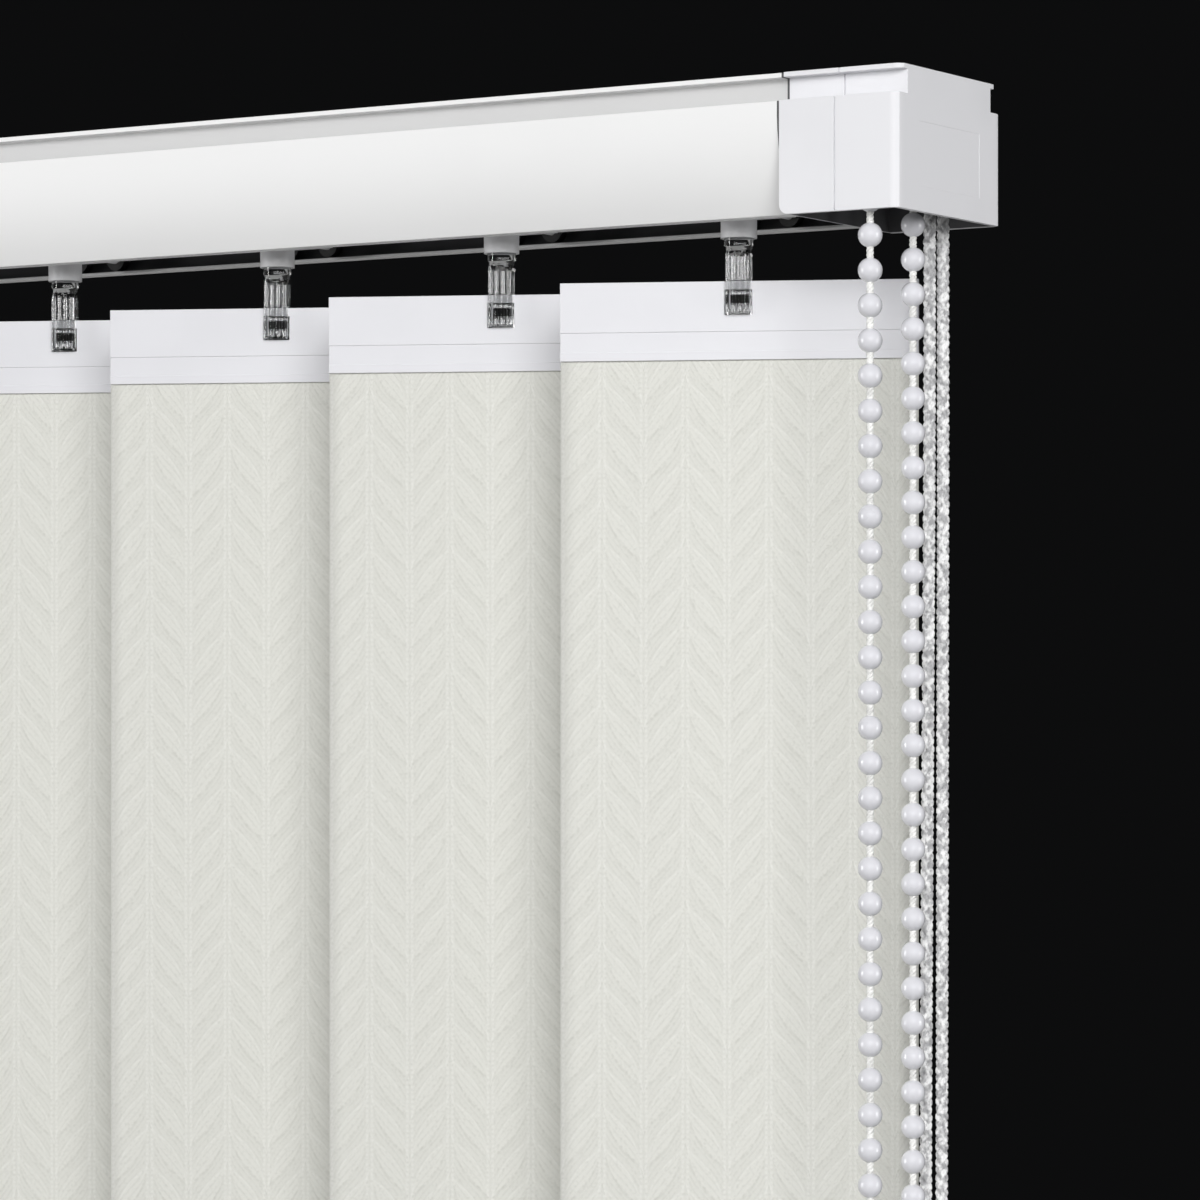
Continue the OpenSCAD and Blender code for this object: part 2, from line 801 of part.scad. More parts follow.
// The fork that holds a hanger: two ribbed fingers and a barb through the hanger's window
module hook_fork() {
    top = collar_depth + gap + flare_l + taper_l;
    difference() {
        union() {
            intersection() {
                translate([-fork_w / 2, -fork_t / 2, -fork_foot])
                    cube([fork_w, fork_t, fork_foot - top]);
                translate([0, 0, -fork_foot])
                    cylinder(r = fork_round_r, h = fork_foot - top);
            }
            for (k = [0 : rib_count - 1], side = [-1, 1])
                translate([(k - (rib_count - 1) / 2) * rib_pitch, side * fork_t / 2, rib_end - fork_foot])
                    cylinder(r = rib_r, h = fork_foot - top - 2 * rib_end, $fn = 24);
        }
        translate([-fork_w, -fork_gap / 2, -fork_foot - cut])
            cube([2 * fork_w, fork_gap, fork_foot + cut - hanger_depth + gap]);
    }
    translate([-barb_w / 2, 0, 0])
        along_x(0, barb_w)
            polygon([[-fork_gap / 2, -window_depth], [hanger_t / 2, -window_depth],
                     [hanger_t / 2, -window_depth - barb_lip], [-fork_gap / 2, -window_depth - barb_h]]);
}

// A clear hook: the gear, the stem through the carrier's neck, the flare and the fork
module hook(i) {
    stem_top = rod_depth + gear_t / 2;
    flare_depth = collar_depth + gap;
    color("lightcyan", 0.5) {
        translate([hook_x(i), 0, 0]) {
            stem_gear();
            translate([0, 0, -stem_top])
                cylinder(r = pivot_r, h = stem_top - roof_depth - shaft_gap);
            translate([0, 0, -floor_depth + lip_gap])
                cylinder(r = stem_r + shoulder_w, h = floor_depth - lip_gap - stem_top);
            translate([0, 0, -flare_depth - flare_l])
                cylinder(r = stem_r, h = flare_depth + flare_l - stem_top);
            translate([0, 0, -flare_depth - flare_l - taper_l])
                cylinder(r1 = fork_w / 2, r2 = stem_r, h = taper_l);
        }
        on_hook(i) hook_fork();
    }
}

// A hanger: a plate with a window for the hook, over a jaw that grips the fabric
module hanger(i) {
    jaw_depth = hanger_depth + plate_h;
    lip_depth = hanger_foot - jaw_lip_h;
    color("white")
        on_hook(i)
            difference() {
                translate([-vane_w / 2, 0, 0])
                    along_x(0, vane_w)
                        difference() {
                            union() {
                                band(-hanger_t / 2, hanger_t / 2, hanger_depth, jaw_depth);
                                band(-jaw_t / 2, jaw_t / 2, jaw_depth, hanger_foot);
                                band(-jaw_lip_t / 2, jaw_lip_t / 2, lip_depth, hanger_foot);
                            }
                            band(-fabric_t / 2 - grip_gap, fabric_t / 2 + grip_gap,
                                 hanger_foot - jaw_grip, hanger_foot + cut);
                        }
                translate([-window_w / 2, -hanger_t, -window_depth - window_h])
                    cube([window_w, 2 * hanger_t, window_h]);
            }
}

// A vane: one sheet of fabric, folded at its foot into a pocket that is sewn shut along its top
module vane(i) {
    back = fabric_t / 2 + pocket_t + fabric_t;
    fold_r = (pocket_t + 2 * fabric_t) / 2;
    color("ivory")
        on_hook(i)
            translate([-vane_w / 2, 0, 0])
                along_x(0, vane_w)
                    difference() {
                        union() {
                            band(-fabric_t / 2, fabric_t / 2, hanger_foot - jaw_grip + gap, drop - hem_h + fabric_t);
                            band(-fabric_t / 2, back, drop - hem_h, drop - fold_r);
                            translate([back - fold_r, -drop + fold_r])
                                circle(fold_r);
                        }
                        band(fabric_t / 2, fabric_t / 2 + pocket_t, drop - hem_h + fabric_t, drop - fold_r);
                        translate([back - fold_r, -drop + fold_r])
                            circle(fold_r - fabric_t);
                    }
}

// The weight in a vane's pocket
module foot_weight(i) {
    foot = drop - (pocket_t + 2 * fabric_t) / 2 - weight_lift;
    color("darkgray")
        on_hook(i)
            translate([-weight_w / 2, fabric_t / 2 + pocket_gap_t, -foot])
                cube([weight_w, weight_t, weight_h]);
}

// The strip that sets the distance from a carrier to the next one away from the controls
module spacer_strip(i) {
    level = roof_depth - strip_step * ((i - 1) % strip_levels + 0.5);
    strip_l = vane_pitch + carrier_l;
    color("silver")
        translate([hook_x(i) + carrier_l / 2 - strip_l, strip_y - strip_w / 2, -level - strip_t / 2])
            cube([strip_l, strip_w, strip_t]);
}

headrail();
control_housing();
end_cover();
idle_end_cap();
tilt_rod();
chain_wheel();
bead_chain();
pulley_pin();
front_pulley();
rear_pulley();
idle_pulley_pin();
idle_pulley();
rail_cord();
front_strand();
rear_strand();
cord_weight();
for (i = [1 : vane_count]) {
    carrier(i);
    worm(i);
    hook(i);
    hanger(i);
    vane(i);
    foot_weight(i);
}
for (i = [1 : vane_count - 1])
    spacer_strip(i);
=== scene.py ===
"""Dresses the vertical blind: leaf-woven vanes, bead chain, braided draw cord, finishes, light and camera.

Every object is in metres, in the blind's own frame: X along the headrail with the controls at +X, the front
at -Y and Z up, with the origin at the middle of the headrail's top face.
"""
import json
import logging
import math
from dataclasses import dataclass, field
from enum import Enum
from typing import Iterable, Sequence

import bmesh
import bpy
from mathutils import Matrix, Vector

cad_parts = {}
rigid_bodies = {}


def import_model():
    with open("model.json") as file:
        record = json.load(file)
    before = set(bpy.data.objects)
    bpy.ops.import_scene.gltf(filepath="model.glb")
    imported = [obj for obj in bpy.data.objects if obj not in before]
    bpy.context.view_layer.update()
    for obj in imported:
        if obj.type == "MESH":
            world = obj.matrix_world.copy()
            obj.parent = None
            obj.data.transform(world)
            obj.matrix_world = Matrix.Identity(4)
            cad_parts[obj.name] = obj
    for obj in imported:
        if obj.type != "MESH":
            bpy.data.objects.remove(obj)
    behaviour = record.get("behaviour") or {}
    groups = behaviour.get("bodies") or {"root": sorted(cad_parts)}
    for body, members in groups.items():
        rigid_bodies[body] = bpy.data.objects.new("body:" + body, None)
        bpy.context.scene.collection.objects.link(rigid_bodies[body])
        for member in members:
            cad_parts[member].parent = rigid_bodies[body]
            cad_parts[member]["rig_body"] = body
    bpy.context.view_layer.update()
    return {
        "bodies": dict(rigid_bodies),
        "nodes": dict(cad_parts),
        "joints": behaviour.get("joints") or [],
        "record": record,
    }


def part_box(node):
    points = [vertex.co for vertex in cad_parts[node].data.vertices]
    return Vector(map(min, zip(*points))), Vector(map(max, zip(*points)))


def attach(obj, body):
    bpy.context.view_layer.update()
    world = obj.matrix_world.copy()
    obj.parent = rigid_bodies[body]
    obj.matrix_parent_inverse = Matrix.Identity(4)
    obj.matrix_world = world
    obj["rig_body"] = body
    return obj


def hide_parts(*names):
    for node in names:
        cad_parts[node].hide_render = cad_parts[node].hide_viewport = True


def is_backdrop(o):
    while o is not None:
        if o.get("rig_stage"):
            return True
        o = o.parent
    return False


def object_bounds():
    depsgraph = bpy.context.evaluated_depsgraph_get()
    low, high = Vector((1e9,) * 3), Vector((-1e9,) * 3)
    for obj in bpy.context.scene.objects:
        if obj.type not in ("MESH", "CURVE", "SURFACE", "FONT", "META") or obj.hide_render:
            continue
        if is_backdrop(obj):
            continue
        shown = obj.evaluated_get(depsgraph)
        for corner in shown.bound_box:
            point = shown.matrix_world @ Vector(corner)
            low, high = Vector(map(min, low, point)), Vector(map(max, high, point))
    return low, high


LOG = logging.getLogger("vertical_blind")
MM = 0.001
VANE_COUNT = 6
VANE_TURN = math.radians(24)
FACING = 0.7

Colour = tuple[float, float, float]
Socket = bpy.types.NodeSocket
Value = float | Socket


class NodeGraph:
    """A material's node tree, with short calls that add nodes and join them."""

    def __init__(self, name: str) -> None:
        """Starts a material with a Principled shader.

        Args:
            name: the material's name.
        """
        self.material = bpy.data.materials.new(name)
        self.material.use_nodes = True
        self.tree = self.material.node_tree
        self.shader = self.tree.nodes["Principled BSDF"]

    def add(self, kind: str, **settings: object) -> bpy.types.Node:
        """Adds a node and sets its options.

        Args:
            kind: the node's type name without the ShaderNode prefix.
            settings: attributes to set on the node.

        Returns:
            The new node.
        """
        node = self.tree.nodes.new("ShaderNode" + kind)
        for name, value in settings.items():
            setattr(node, name, value)
        return node

    def feed(self, socket: Socket, value: Value | Colour) -> None:
        """Joins an output to a socket, or sets the socket to a plain value.

        Args:
            socket: the input that takes the value.
            value: an output socket, a number or a colour.
        """
        if isinstance(value, bpy.types.NodeSocket):
            self.tree.links.new(value, socket)
        elif isinstance(value, tuple):
            socket.default_value = (*value, 1.0)
        else:
            socket.default_value = value

    def math(self, operation: str, *operands: Value) -> Socket:
        """Adds one step of arithmetic.

        Args:
            operation: the Math node's operation.
            operands: what it works on, in order.

        Returns:
            The result's socket.
        """
        node = self.add("Math", operation=operation)
        for socket, operand in zip(node.inputs, operands):
            self.feed(socket, operand)
        return node.outputs[0]

    def ramp(self, value: Value, low: float, high: float, start: float = 0.0, end: float = 1.0) -> Socket:
        """Maps a range smoothly onto another.

        Args:
            value: what is mapped.
            low: the value that gives start.
            high: the value that gives end.
            start: the result at low.
            end: the result at high.

        Returns:
            The mapped value's socket.
        """
        node = self.add("MapRange", interpolation_type="SMOOTHSTEP")
        for socket, number in zip(node.inputs, (value, low, high, start, end)):
            self.feed(socket, number)
        return node.outputs[0]

    def mix(self, share: Value, first: Socket | Colour, second: Socket | Colour) -> Socket:
        """Mixes two colours.

        Args:
            share: how much of the second colour there is.
            first: the colour at share 0.
            second: the colour at share 1.

        Returns:
            The mixed colour's socket.
        """
        node = self.add("Mix", data_type="RGBA")
        self.feed(node.inputs["Factor"], share)
        self.feed(node.inputs[6], first)
        self.feed(node.inputs[7], second)
        return node.outputs[2]

    def noise(self, place: Socket, size_mm: float, detail: float = 2.0) -> Socket:
        """Adds a noise of a given grain.

        Args:
            place: the coordinates, in metres.
            size_mm: the grain's size in millimetres.
            detail: how many finer layers it has.

        Returns:
            The noise value's socket, around 0.5.
        """
        node = self.add("TexNoise")
        self.feed(node.inputs["Vector"], place)
        node.inputs["Scale"].default_value = 1 / (size_mm * MM)
        node.inputs["Detail"].default_value = detail
        return node.outputs[0]

    def object_place(self) -> Socket:
        """Gives the object coordinates, which are the blind's own frame."""
        return self.add("TexCoord").outputs["Object"]

    def bump(self, height: Value, depth_mm: float, strength: float = 1.0) -> None:
        """Joins a height to the shader's normal.

        Args:
            height: the height, from 0 to 1.
            depth_mm: how far 1 stands over 0, in millimetres.
            strength: the bump's strength.
        """
        node = self.add("Bump")
        node.inputs["Strength"].default_value = strength
        node.inputs["Distance"].default_value = depth_mm * MM
        self.feed(node.inputs["Height"], height)
        self.tree.links.new(node.outputs[0], self.shader.inputs["Normal"])

    def set(self, **values: float) -> None:
        """Sets plain numbers on the shader, with underscores for the spaces in a socket's name."""
        for name, value in values.items():
            self.shader.inputs[name.replace("_", " ")].default_value = value


@dataclass(frozen=True)
class Finish:
    """A hard surface: its colour, its grain and how its gloss varies."""

    name: str
    colour: Colour
    roughness: float
    grain_mm: float = 0.5
    grain_depth_mm: float = 0.01
    cloud_mm: float = 30.0
    shade: float = 0.94
    gloss_change: float = 0.05
    sockets: tuple[tuple[str, float], ...] = ()

    def material(self) -> bpy.types.Material:
        """Builds the finish as a node material.

        Returns:
            The material.
        """
        graph = NodeGraph(self.name)
        place = graph.object_place()
        cloud = graph.noise(place, self.cloud_mm, 3.0)
        grain = graph.noise(place, self.grain_mm)
        dark = tuple(part * self.shade for part in self.colour)
        tone = graph.mix(graph.ramp(cloud, 0.35, 0.6), dark, self.colour)
        graph.feed(graph.shader.inputs["Base Color"], tone)
        smooth, rough = self.roughness - self.gloss_change, self.roughness + self.gloss_change
        graph.feed(graph.shader.inputs["Roughness"], graph.ramp(cloud, 0.3, 0.7, smooth, rough))
        graph.bump(grain, self.grain_depth_mm)
        graph.set(**dict(self.sockets))
        return graph.material


@dataclass(frozen=True)
class LeafCloth:
    """The vanes' cloth: a cream ground woven with columns of S-curved leaves on stems, with painted
    highlight on the leaves' upper edges and painted shade on their lower edges and in the dimples between
    threads.
    """

    name: str = "leaf_cloth"
    gap: Colour = (0.70, 0.70, 0.655)
    leaf: Colour = (0.72, 0.72, 0.675)
    # A dark tone for the veins and the grain, and painted shade on the leaves' lower edges and in the
    # dimples between threads.
    shadow: Colour = (0.52, 0.52, 0.475)
    # A light tone for the stems, and painted highlight on the leaves' upper edges.
    shine: Colour = (0.83, 0.83, 0.795)
    column_mm: float = 10.4
    pitch_mm: float = 10.0
    rise_mm: float = 3.2
    stem_share: float = 0.05
    vein_count: float = 5.0
    thread_mm: float = 0.62
    relief_mm: float = 0.02
    uneven_mm: float = 0.8
    half_at_root: float = 0.04
    half_added: float = 0.28
    vein_share: float = 0.3
    # How strong the painted shade on the lower edges is, and the painted highlight on the upper edges and
    # the light of the stems.
    shadow_share: float = 0.34
    shine_share: float = 0.4
    weave_share: float = 0.14
    grain_share: float = 0.4

    def material(self, width: float, length: float) -> bpy.types.Material:
        """Builds the cloth as a node material on a vane's own UV map.

        Args:
            width: the cloth's width in metres.
            length: the cloth's flat length in metres.

        Returns:
            The material.
        """
        graph = NodeGraph(self.name)
        parts = graph.add("SeparateXYZ")
        graph.feed(parts.inputs[0], graph.add("UVMap", uv_map=Vane.UV_NAME).outputs[0])
        across = graph.math("MULTIPLY", parts.outputs["X"], width / MM)
        along = graph.math("MULTIPLY", parts.outputs["Y"], length / MM)
        grain = graph.noise(graph.object_place(), 0.5, 2.0)
        share = graph.math("DIVIDE", graph.math("PINGPONG", across, self.column_mm), self.column_mm)
        phase = self.phase(graph, share, along, grain)
        body, upper, lower = self.leaves(graph, share, phase)
        veins = graph.math("SINE", graph.math("MULTIPLY", phase, 2 * math.pi * self.vein_count))
        stem = self.stems(graph, share, along)
        weave = self.weave(graph, across, along)
        broken = graph.ramp(graph.noise(graph.object_place(), 0.9, 1.0), 0.35, 0.6, 0.25, 1.0)
        tone = graph.mix(body, self.gap, self.leaf)
        lines = graph.math("MULTIPLY", graph.ramp(veins, 0.3, 1.0, 0.0, self.vein_share), broken)
        tone = graph.mix(lines, tone, self.shadow)
        # Painted shade on each leaf's lower edge and painted highlight on its upper edge, as if lit from
        # above.
        under = graph.math("MULTIPLY", graph.math("MULTIPLY", lower, broken), self.shadow_share)
        tone = graph.mix(under, tone, self.shadow)
        over = graph.math("MULTIPLY", graph.math("MULTIPLY", upper, broken), self.shine_share)
        tone = graph.mix(over, tone, self.shine)
        tone = graph.mix(graph.math("MULTIPLY", stem, self.shine_share), tone, self.shine)
        # Painted shade in the dimples between the threads.
        tone = graph.mix(graph.ramp(weave, 0.35, 1.0, 0.0, self.weave_share), tone, self.shadow)
        tone = graph.mix(graph.ramp(grain, 0.5, 0.75, 0.0, self.grain_share), tone, self.shadow)
        graph.feed(graph.shader.inputs["Base Color"], tone)
        raised = graph.math("SUBTRACT", body, graph.math("MULTIPLY", lower, 0.5))
        threads = graph.math("MULTIPLY_ADD", veins, 0.15, graph.math("MULTIPLY", weave, -0.5))
        graph.bump(graph.math("ADD", raised, threads), self.relief_mm)
        graph.set(Roughness=0.82, Sheen_Weight=0.1, Sheen_Roughness=0.5)
        return graph.material

    def phase(self, graph: NodeGraph, share: Socket, along: Socket, grain: Socket) -> Socket:
        """Follows the leaves, which climb steeply at both stems and slant between them.

        Args:
            graph: the cloth's nodes.
            share: the way from the stem at a leaf's root, 0, to that at its tip, 1.
            along: the length along the cloth in millimetres.
            grain: a noise that makes the yarns uneven.

        Returns:
            The place across the leaves, from 0 to 1 for each.
        """
        near = graph.math("MULTIPLY_ADD", share, 1 - 2 * self.stem_share, self.stem_share)
        far = graph.math("SUBTRACT", 1.0, near)
        sweep = graph.math("LOGARITHM", graph.math("DIVIDE", near, far), math.e)
        uneven = graph.math("MULTIPLY", grain, self.uneven_mm)
        climb = graph.math("MULTIPLY_ADD", sweep, self.rise_mm, uneven)
        level = graph.math("DIVIDE", graph.math("SUBTRACT", along, climb), self.pitch_mm)
        return graph.math("FRACT", level)

    def leaves(self, graph: NodeGraph, share: Socket, phase: Socket) -> tuple[Socket, Socket, Socket]:
        """Draws the leaves between two stems.

        Args:
            graph: the cloth's nodes.
            share: the way from the stem at a leaf's root to that at its tip.
            phase: the place across the leaves.

        Returns:
            The leaves' bodies, their upper edges, which get painted highlight, and their lower edges, which
            get painted shade.
        """
        bulge = graph.math("SINE", graph.math("MULTIPLY", share, math.pi))
        half = graph.math("MULTIPLY_ADD", bulge, self.half_added, self.half_at_root)
        offset = graph.math("SUBTRACT", phase, 0.5)
        outside = graph.math("SUBTRACT", graph.math("ABSOLUTE", offset), half)
        body = graph.ramp(outside, 0.07, -0.05)
        upper = graph.ramp(graph.math("ABSOLUTE", graph.math("SUBTRACT", offset, half)), 0.05, 0.015)
        lower = graph.ramp(graph.math("ABSOLUTE", graph.math("ADD", offset, half)), 0.07, 0.015)
        return body, upper, lower

    def stems(self, graph: NodeGraph, share: Socket, along: Socket) -> Socket:
        """Draws the dotted stems between the columns of leaves.

        Args:
            graph: the cloth's nodes.
            share: the way from one stem to the next.
            along: the length along the cloth in millimetres.

        Returns:
            The stems' strength.
        """
        away = graph.math("MINIMUM", share, graph.math("SUBTRACT", 1.0, share))
        line = graph.ramp(graph.math("ABSOLUTE", graph.math("SUBTRACT", away, 0.06)), 0.05, 0.015)
        dots = graph.math("SINE", graph.math("MULTIPLY", along, 2 * math.pi / (2 * self.thread_mm)))
        return graph.math("MULTIPLY", line, graph.ramp(dots, -0.6, 0.4, 0.3, 1.0))

    def weave(self, graph: NodeGraph, across: Socket, along: Socket) -> Socket:
        """Draws the crossing threads.

        Args:
            graph: the cloth's nodes.
            across: the place across the cloth in millimetres.
            along: the length along the cloth in millimetres.

        Returns:
            The depth of the dimples between threads, from 0 to 1, which also sets their painted shade.
        """
        turn = 2 * math.pi / self.thread_mm
        first = graph.math("SINE", graph.math("MULTIPLY", across, turn))
        second = graph.math("SINE", graph.math("MULTIPLY", along, turn))
        return graph.math("MULTIPLY_ADD", graph.math("MULTIPLY", first, second), 0.5, 0.5)


@dataclass(frozen=True)
class Filament:
    """A shiny twisted yarn, for the draw cord and the chain's thread."""

    name: str
    light: Colour
    dark: Colour
    fibre_mm: float = 0.35
    fibre_depth_mm: float = 0.06
    fleck_mm: float = 1.8

    def material(self) -> bpy.types.Material:
        """Builds the yarn as a node material.

        Returns:
            The material.
        """
        graph = NodeGraph(self.name)
        place = graph.object_place()
        fibre = graph.noise(place, self.fibre_mm, 3.0)
        fleck = graph.noise(place, self.fleck_mm, 2.0)
        tone = graph.mix(graph.ramp(fleck, 0.38, 0.62), self.dark, self.light)
        graph.feed(graph.shader.inputs["Base Color"], tone)
        graph.feed(graph.shader.inputs["Roughness"], graph.ramp(fleck, 0.3, 0.7, 0.3, 0.5))
        graph.bump(fibre, self.fibre_depth_mm)
        graph.set(Sheen_Weight=0.2, Sheen_Roughness=0.3, Specular_IOR_Level=0.7)
        return graph.material


class Palette(Enum):
    """The finishes of the hard pieces and the floor, by what they are made of."""

    COATED_RAIL = Finish("coated_rail", (0.86, 0.86, 0.86), 0.45, 0.5, 0.012, 60.0, 0.985)
    # Painted shade: a darker colour for the rail's neck, which lies in shade under the flange.
    PAINTED_SHADE_NECK = Finish("rail_neck_painted_shade", (0.61, 0.61, 0.61), 0.55, 0.5, 0.012, 60.0, 0.985)
    # Painted shade: a near-black colour for the faces inside the hollow head pieces and for the rail's end
    # in the housing.
    PAINTED_SHADE_INSIDE = Finish("painted_shade_inside", (0.10, 0.10, 0.105), 0.5, 0.5, 0.012, 60.0, 0.9)
    MOULDED_END = Finish("moulded_end", (0.79, 0.79, 0.815), 0.42, 0.35, 0.008, 40.0, 0.97)
    CARRIER = Finish("carrier_acetal", (0.90, 0.90, 0.915), 0.38, 0.4, 0.006)
    TYRE = Finish("wheel_tyre", (0.03, 0.03, 0.03), 0.5, 0.4, 0.006)
    WHEEL = Finish("wheel_acetal", (0.62, 0.62, 0.615), 0.4, 0.4, 0.006)
    CLEAR_HOOK = Finish("clear_hook", (0.98, 0.985, 0.99), 0.035, 1.6, 0.008, 6.0, 0.99, 0.02,
                        (("Transmission Weight", 1.0), ("IOR", 1.49)))
    HANGER = Finish("hanger_extrusion", (0.755, 0.755, 0.785), 0.36, 0.5, 0.006, 25.0, 0.98)
    WEIGHT = Finish("weight_coating", (0.38, 0.38, 0.38), 0.55, 0.5, 0.02)
    BEAD = Finish("bead_gloss", (0.75, 0.75, 0.79), 0.3, 2.0, 0.004, 8.0, 0.97, 0.03,
                  (("Coat Weight", 1.0), ("Coat Roughness", 0.14)))
    STEEL = Finish("bright_steel", (0.56, 0.56, 0.57), 0.3, 0.3, 0.01, 20.0, 0.9, 0.08,
                   (("Metallic", 1.0),))
    ROD = Finish("drawn_aluminium", (0.62, 0.62, 0.63), 0.34, 0.4, 0.012, 20.0, 0.92, 0.06,
                 (("Metallic", 1.0),))
    FLOOR = Finish("pale_floor", (0.72, 0.72, 0.71), 0.8, 3.0, 0.05, 400.0, 0.97)


class Yarn(Enum):
    """The yarns of the cords and the seams."""

    CHAIN = Filament("chain_thread", (0.90, 0.90, 0.88), (0.74, 0.74, 0.72))
    DRAW_CORD = Filament("cord_yarn", (0.88, 0.88, 0.88), (0.44, 0.44, 0.45))
    RAIL_CORD = Filament("rail_cord_yarn", (0.72, 0.72, 0.72), (0.42, 0.42, 0.43))
    SEAM = Filament("seam_yarn", (0.78, 0.78, 0.73), (0.66, 0.66, 0.61))


class Finishes:
    """Makes each material once and hands it out."""

    def __init__(self) -> None:
        """Starts with no materials."""
        self.made: dict[str, bpy.types.Material] = {}

    def get(self, choice: Palette | Yarn) -> bpy.types.Material:
        """Gives a finish's material.

        Args:
            choice: the finish or the yarn.

        Returns:
            Its material, made on first use.
        """
        finish = choice.value
        if finish.name not in self.made:
            self.made[finish.name] = finish.material()
        return self.made[finish.name]


def mesh_object(name: str, shape: bmesh.types.BMesh, material: bpy.types.Material) -> bpy.types.Object:
    """Turns a bmesh into a smooth-shaded object of the scene.

    Args:
        name: the object's name.
        shape: the bmesh, which is freed.
        material: the object's material.

    Returns:
        The object, at the origin.
    """
    mesh = bpy.data.meshes.new(name)
    for face in shape.faces:
        face.smooth = True
    shape.to_mesh(mesh)
    shape.free()
    mesh.materials.append(material)
    piece = bpy.data.objects.new(name, mesh)
    bpy.context.scene.collection.objects.link(piece)
    return piece


@dataclass(frozen=True)
class EasedCopy:
    """A CAD piece with its sharp edges eased, as a mould or a die leaves them."""

    node: str
    edge_mm: float = 0.25
    sharp: float = math.radians(28)
    flat: float = math.radians(0.4)
    merge: float = 0.002 * MM

    def build(self, frame: dict, material: bpy.types.Material) -> bpy.types.Object:
        """Copies the node's mesh, merges it, rounds its edges and stands it in for the node.

        Args:
            frame: the loaded frame.
            material: the piece's finish.

        Returns:
            The eased piece, riding on the node's body.
        """
        source = frame["nodes"][self.node]
        shape = bmesh.new()
        shape.from_mesh(source.data)
        bmesh.ops.remove_doubles(shape, verts=shape.verts, dist=self.merge)
        bmesh.ops.dissolve_limit(shape, angle_limit=self.flat, verts=shape.verts, edges=shape.edges)
        edges = [edge for edge in shape.edges if edge.is_manifold and edge.calc_face_angle() > self.sharp]
        bmesh.ops.bevel(shape, geom=edges, offset=self.edge_mm * MM, offset_type="OFFSET", affect="EDGES",
                        segments=2, profile=0.5, material=-1, clamp_overlap=True)
        for edge in shape.edges:
            edge.smooth = not edge.is_manifold or edge.calc_face_angle() < self.sharp
        piece = mesh_object(f"{self.node}_eased", shape, material)
        shading = piece.modifiers.new("flat_faces_stay_flat", "WEIGHTED_NORMAL")
        shading.mode = "FACE_AREA"
        shading.keep_sharp = True
        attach(piece, source["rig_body"])
        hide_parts(self.node)
        return piece


@dataclass(frozen=True)
class LinedShell(EasedCopy):
    """A hollow piece of the head: finished outside and at its joint, with painted shade inside: a
    near-black colour on the inner faces.
    """

    ceiling: float = -1.6 * MM
    foot: float = -33.1 * MM
    neck_inside: float = 19.5 * MM
    web_inset: float = 1.0 * MM
    joint: float = math.inf
    joint_land: float = 0.3 * MM

    def is_inside(self, place: Vector, normal: Vector, box: tuple[Vector, Vector]) -> bool:
        """Tells whether a face looks into the piece.

        Args:
            place: the face's centre.
            normal: the way that it looks.
            box: the piece's corners.

        Returns:
            True for the walls, the ceiling, the webs and the tops of the lips.
        """
        low, high = box
        inward = normal.dot(Vector((0, place.y, place.z - (low.z + high.z) / 2))) < -0.1 * MM
        within = low.x + self.web_inset < place.x < high.x - self.web_inset
        at_joint = abs(place.x - self.joint) < self.joint_land
        under_flange = place.z > self.ceiling and abs(place.y) > self.neck_inside
        hidden = within and place.z > self.foot and not at_joint and not under_flange
        return hidden and (inward or abs(normal.x) > FACING)

    def line(self, piece: bpy.types.Object, lining: bpy.types.Material) -> None:
        """Gives the faces inside a near-black material of their own, which paints the shade there.

        Args:
            piece: the eased piece.
            lining: the near-black material inside, painted shade.
        """
        piece.data.materials.append(lining)
        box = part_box(self.node)
        for face in piece.data.polygons:
            face.material_index = int(self.is_inside(face.center, face.normal, box))


@dataclass(frozen=True)
class EndCover(LinedShell):
    """The outer end: its side panel is only just sunk."""

    sink: float = 0.35 * MM
    sink_left: float = 0.09 * MM
    floor_band: tuple[float, float] = (0.6, 1.1)

    def lift_panel(self, piece: bpy.types.Object) -> None:
        """Brings the panel's floor nearer the side's face.

        Args:
            piece: the eased cover.
        """
        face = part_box(self.node)[1].x
        for vert in piece.data.vertices:
            share = (face - vert.co.x) / self.sink
            if self.floor_band[0] < share < self.floor_band[1]:
                vert.co.x = face - share * self.sink_left


@dataclass(frozen=True)
class Headrail(LinedShell):
    """The headrail: painted, with painted shade on its neck as a darker, rougher colour, and inside and at
    its cut end as a near-black one.
    """

    shoulder: float = -6.9 * MM
    # The rail's last millimetre, inside the housing's rim, gets the near-black colour as painted shade cast
    # by the housing's edge.
    shaded_end: float = 1.0 * MM

    def paint(self, piece: bpy.types.Object, neck_shade: bpy.types.Material) -> None:
        """Gives painted shade to the end that goes into the housing, in the near-black inside colour, and
        to the neck, in a darker, rougher colour.

        Args:
            piece: the lined rail.
            neck_shade: the neck's darker, rougher finish, which paints its shade.
        """
        piece.data.materials.append(neck_shade)
        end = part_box(self.node)[1].x - self.shaded_end
        shape = bmesh.new()
        shape.from_mesh(piece.data)
        bmesh.ops.bisect_plane(shape, geom=[*shape.verts, *shape.edges, *shape.faces], dist=0.001 * MM,
                               plane_co=(end, 0, 0), plane_no=(1, 0, 0))
        for face in shape.faces:
            place = face.calc_center_median()
            upright = abs(face.normal.y) > FACING and not face.material_index
            # Painted shade on the end in the housing and on the neck.
            if place.x > end:
                face.material_index = 1
            elif upright and self.shoulder < place.z < self.ceiling:
                face.material_index = 2
        shape.to_mesh(piece.data)
        shape.free()


@dataclass(frozen=True)
class Carrier(EasedCopy):
    """A carrier: pale, on dark wheels."""

    wheel_start: float = 13.8 * MM
    axle: float = -25 * MM

    def shoe(self, piece: bpy.types.Object, tyre: bpy.types.Material) -> None:
        """Gives the wheels their own material.

        Args:
            piece: the eased carrier.
            tyre: the wheels' material.
        """
        piece.data.materials.append(tyre)
        for face in piece.data.polygons:
            face.material_index = int(abs(face.center.y) > self.wheel_start and face.center.z < self.axle)


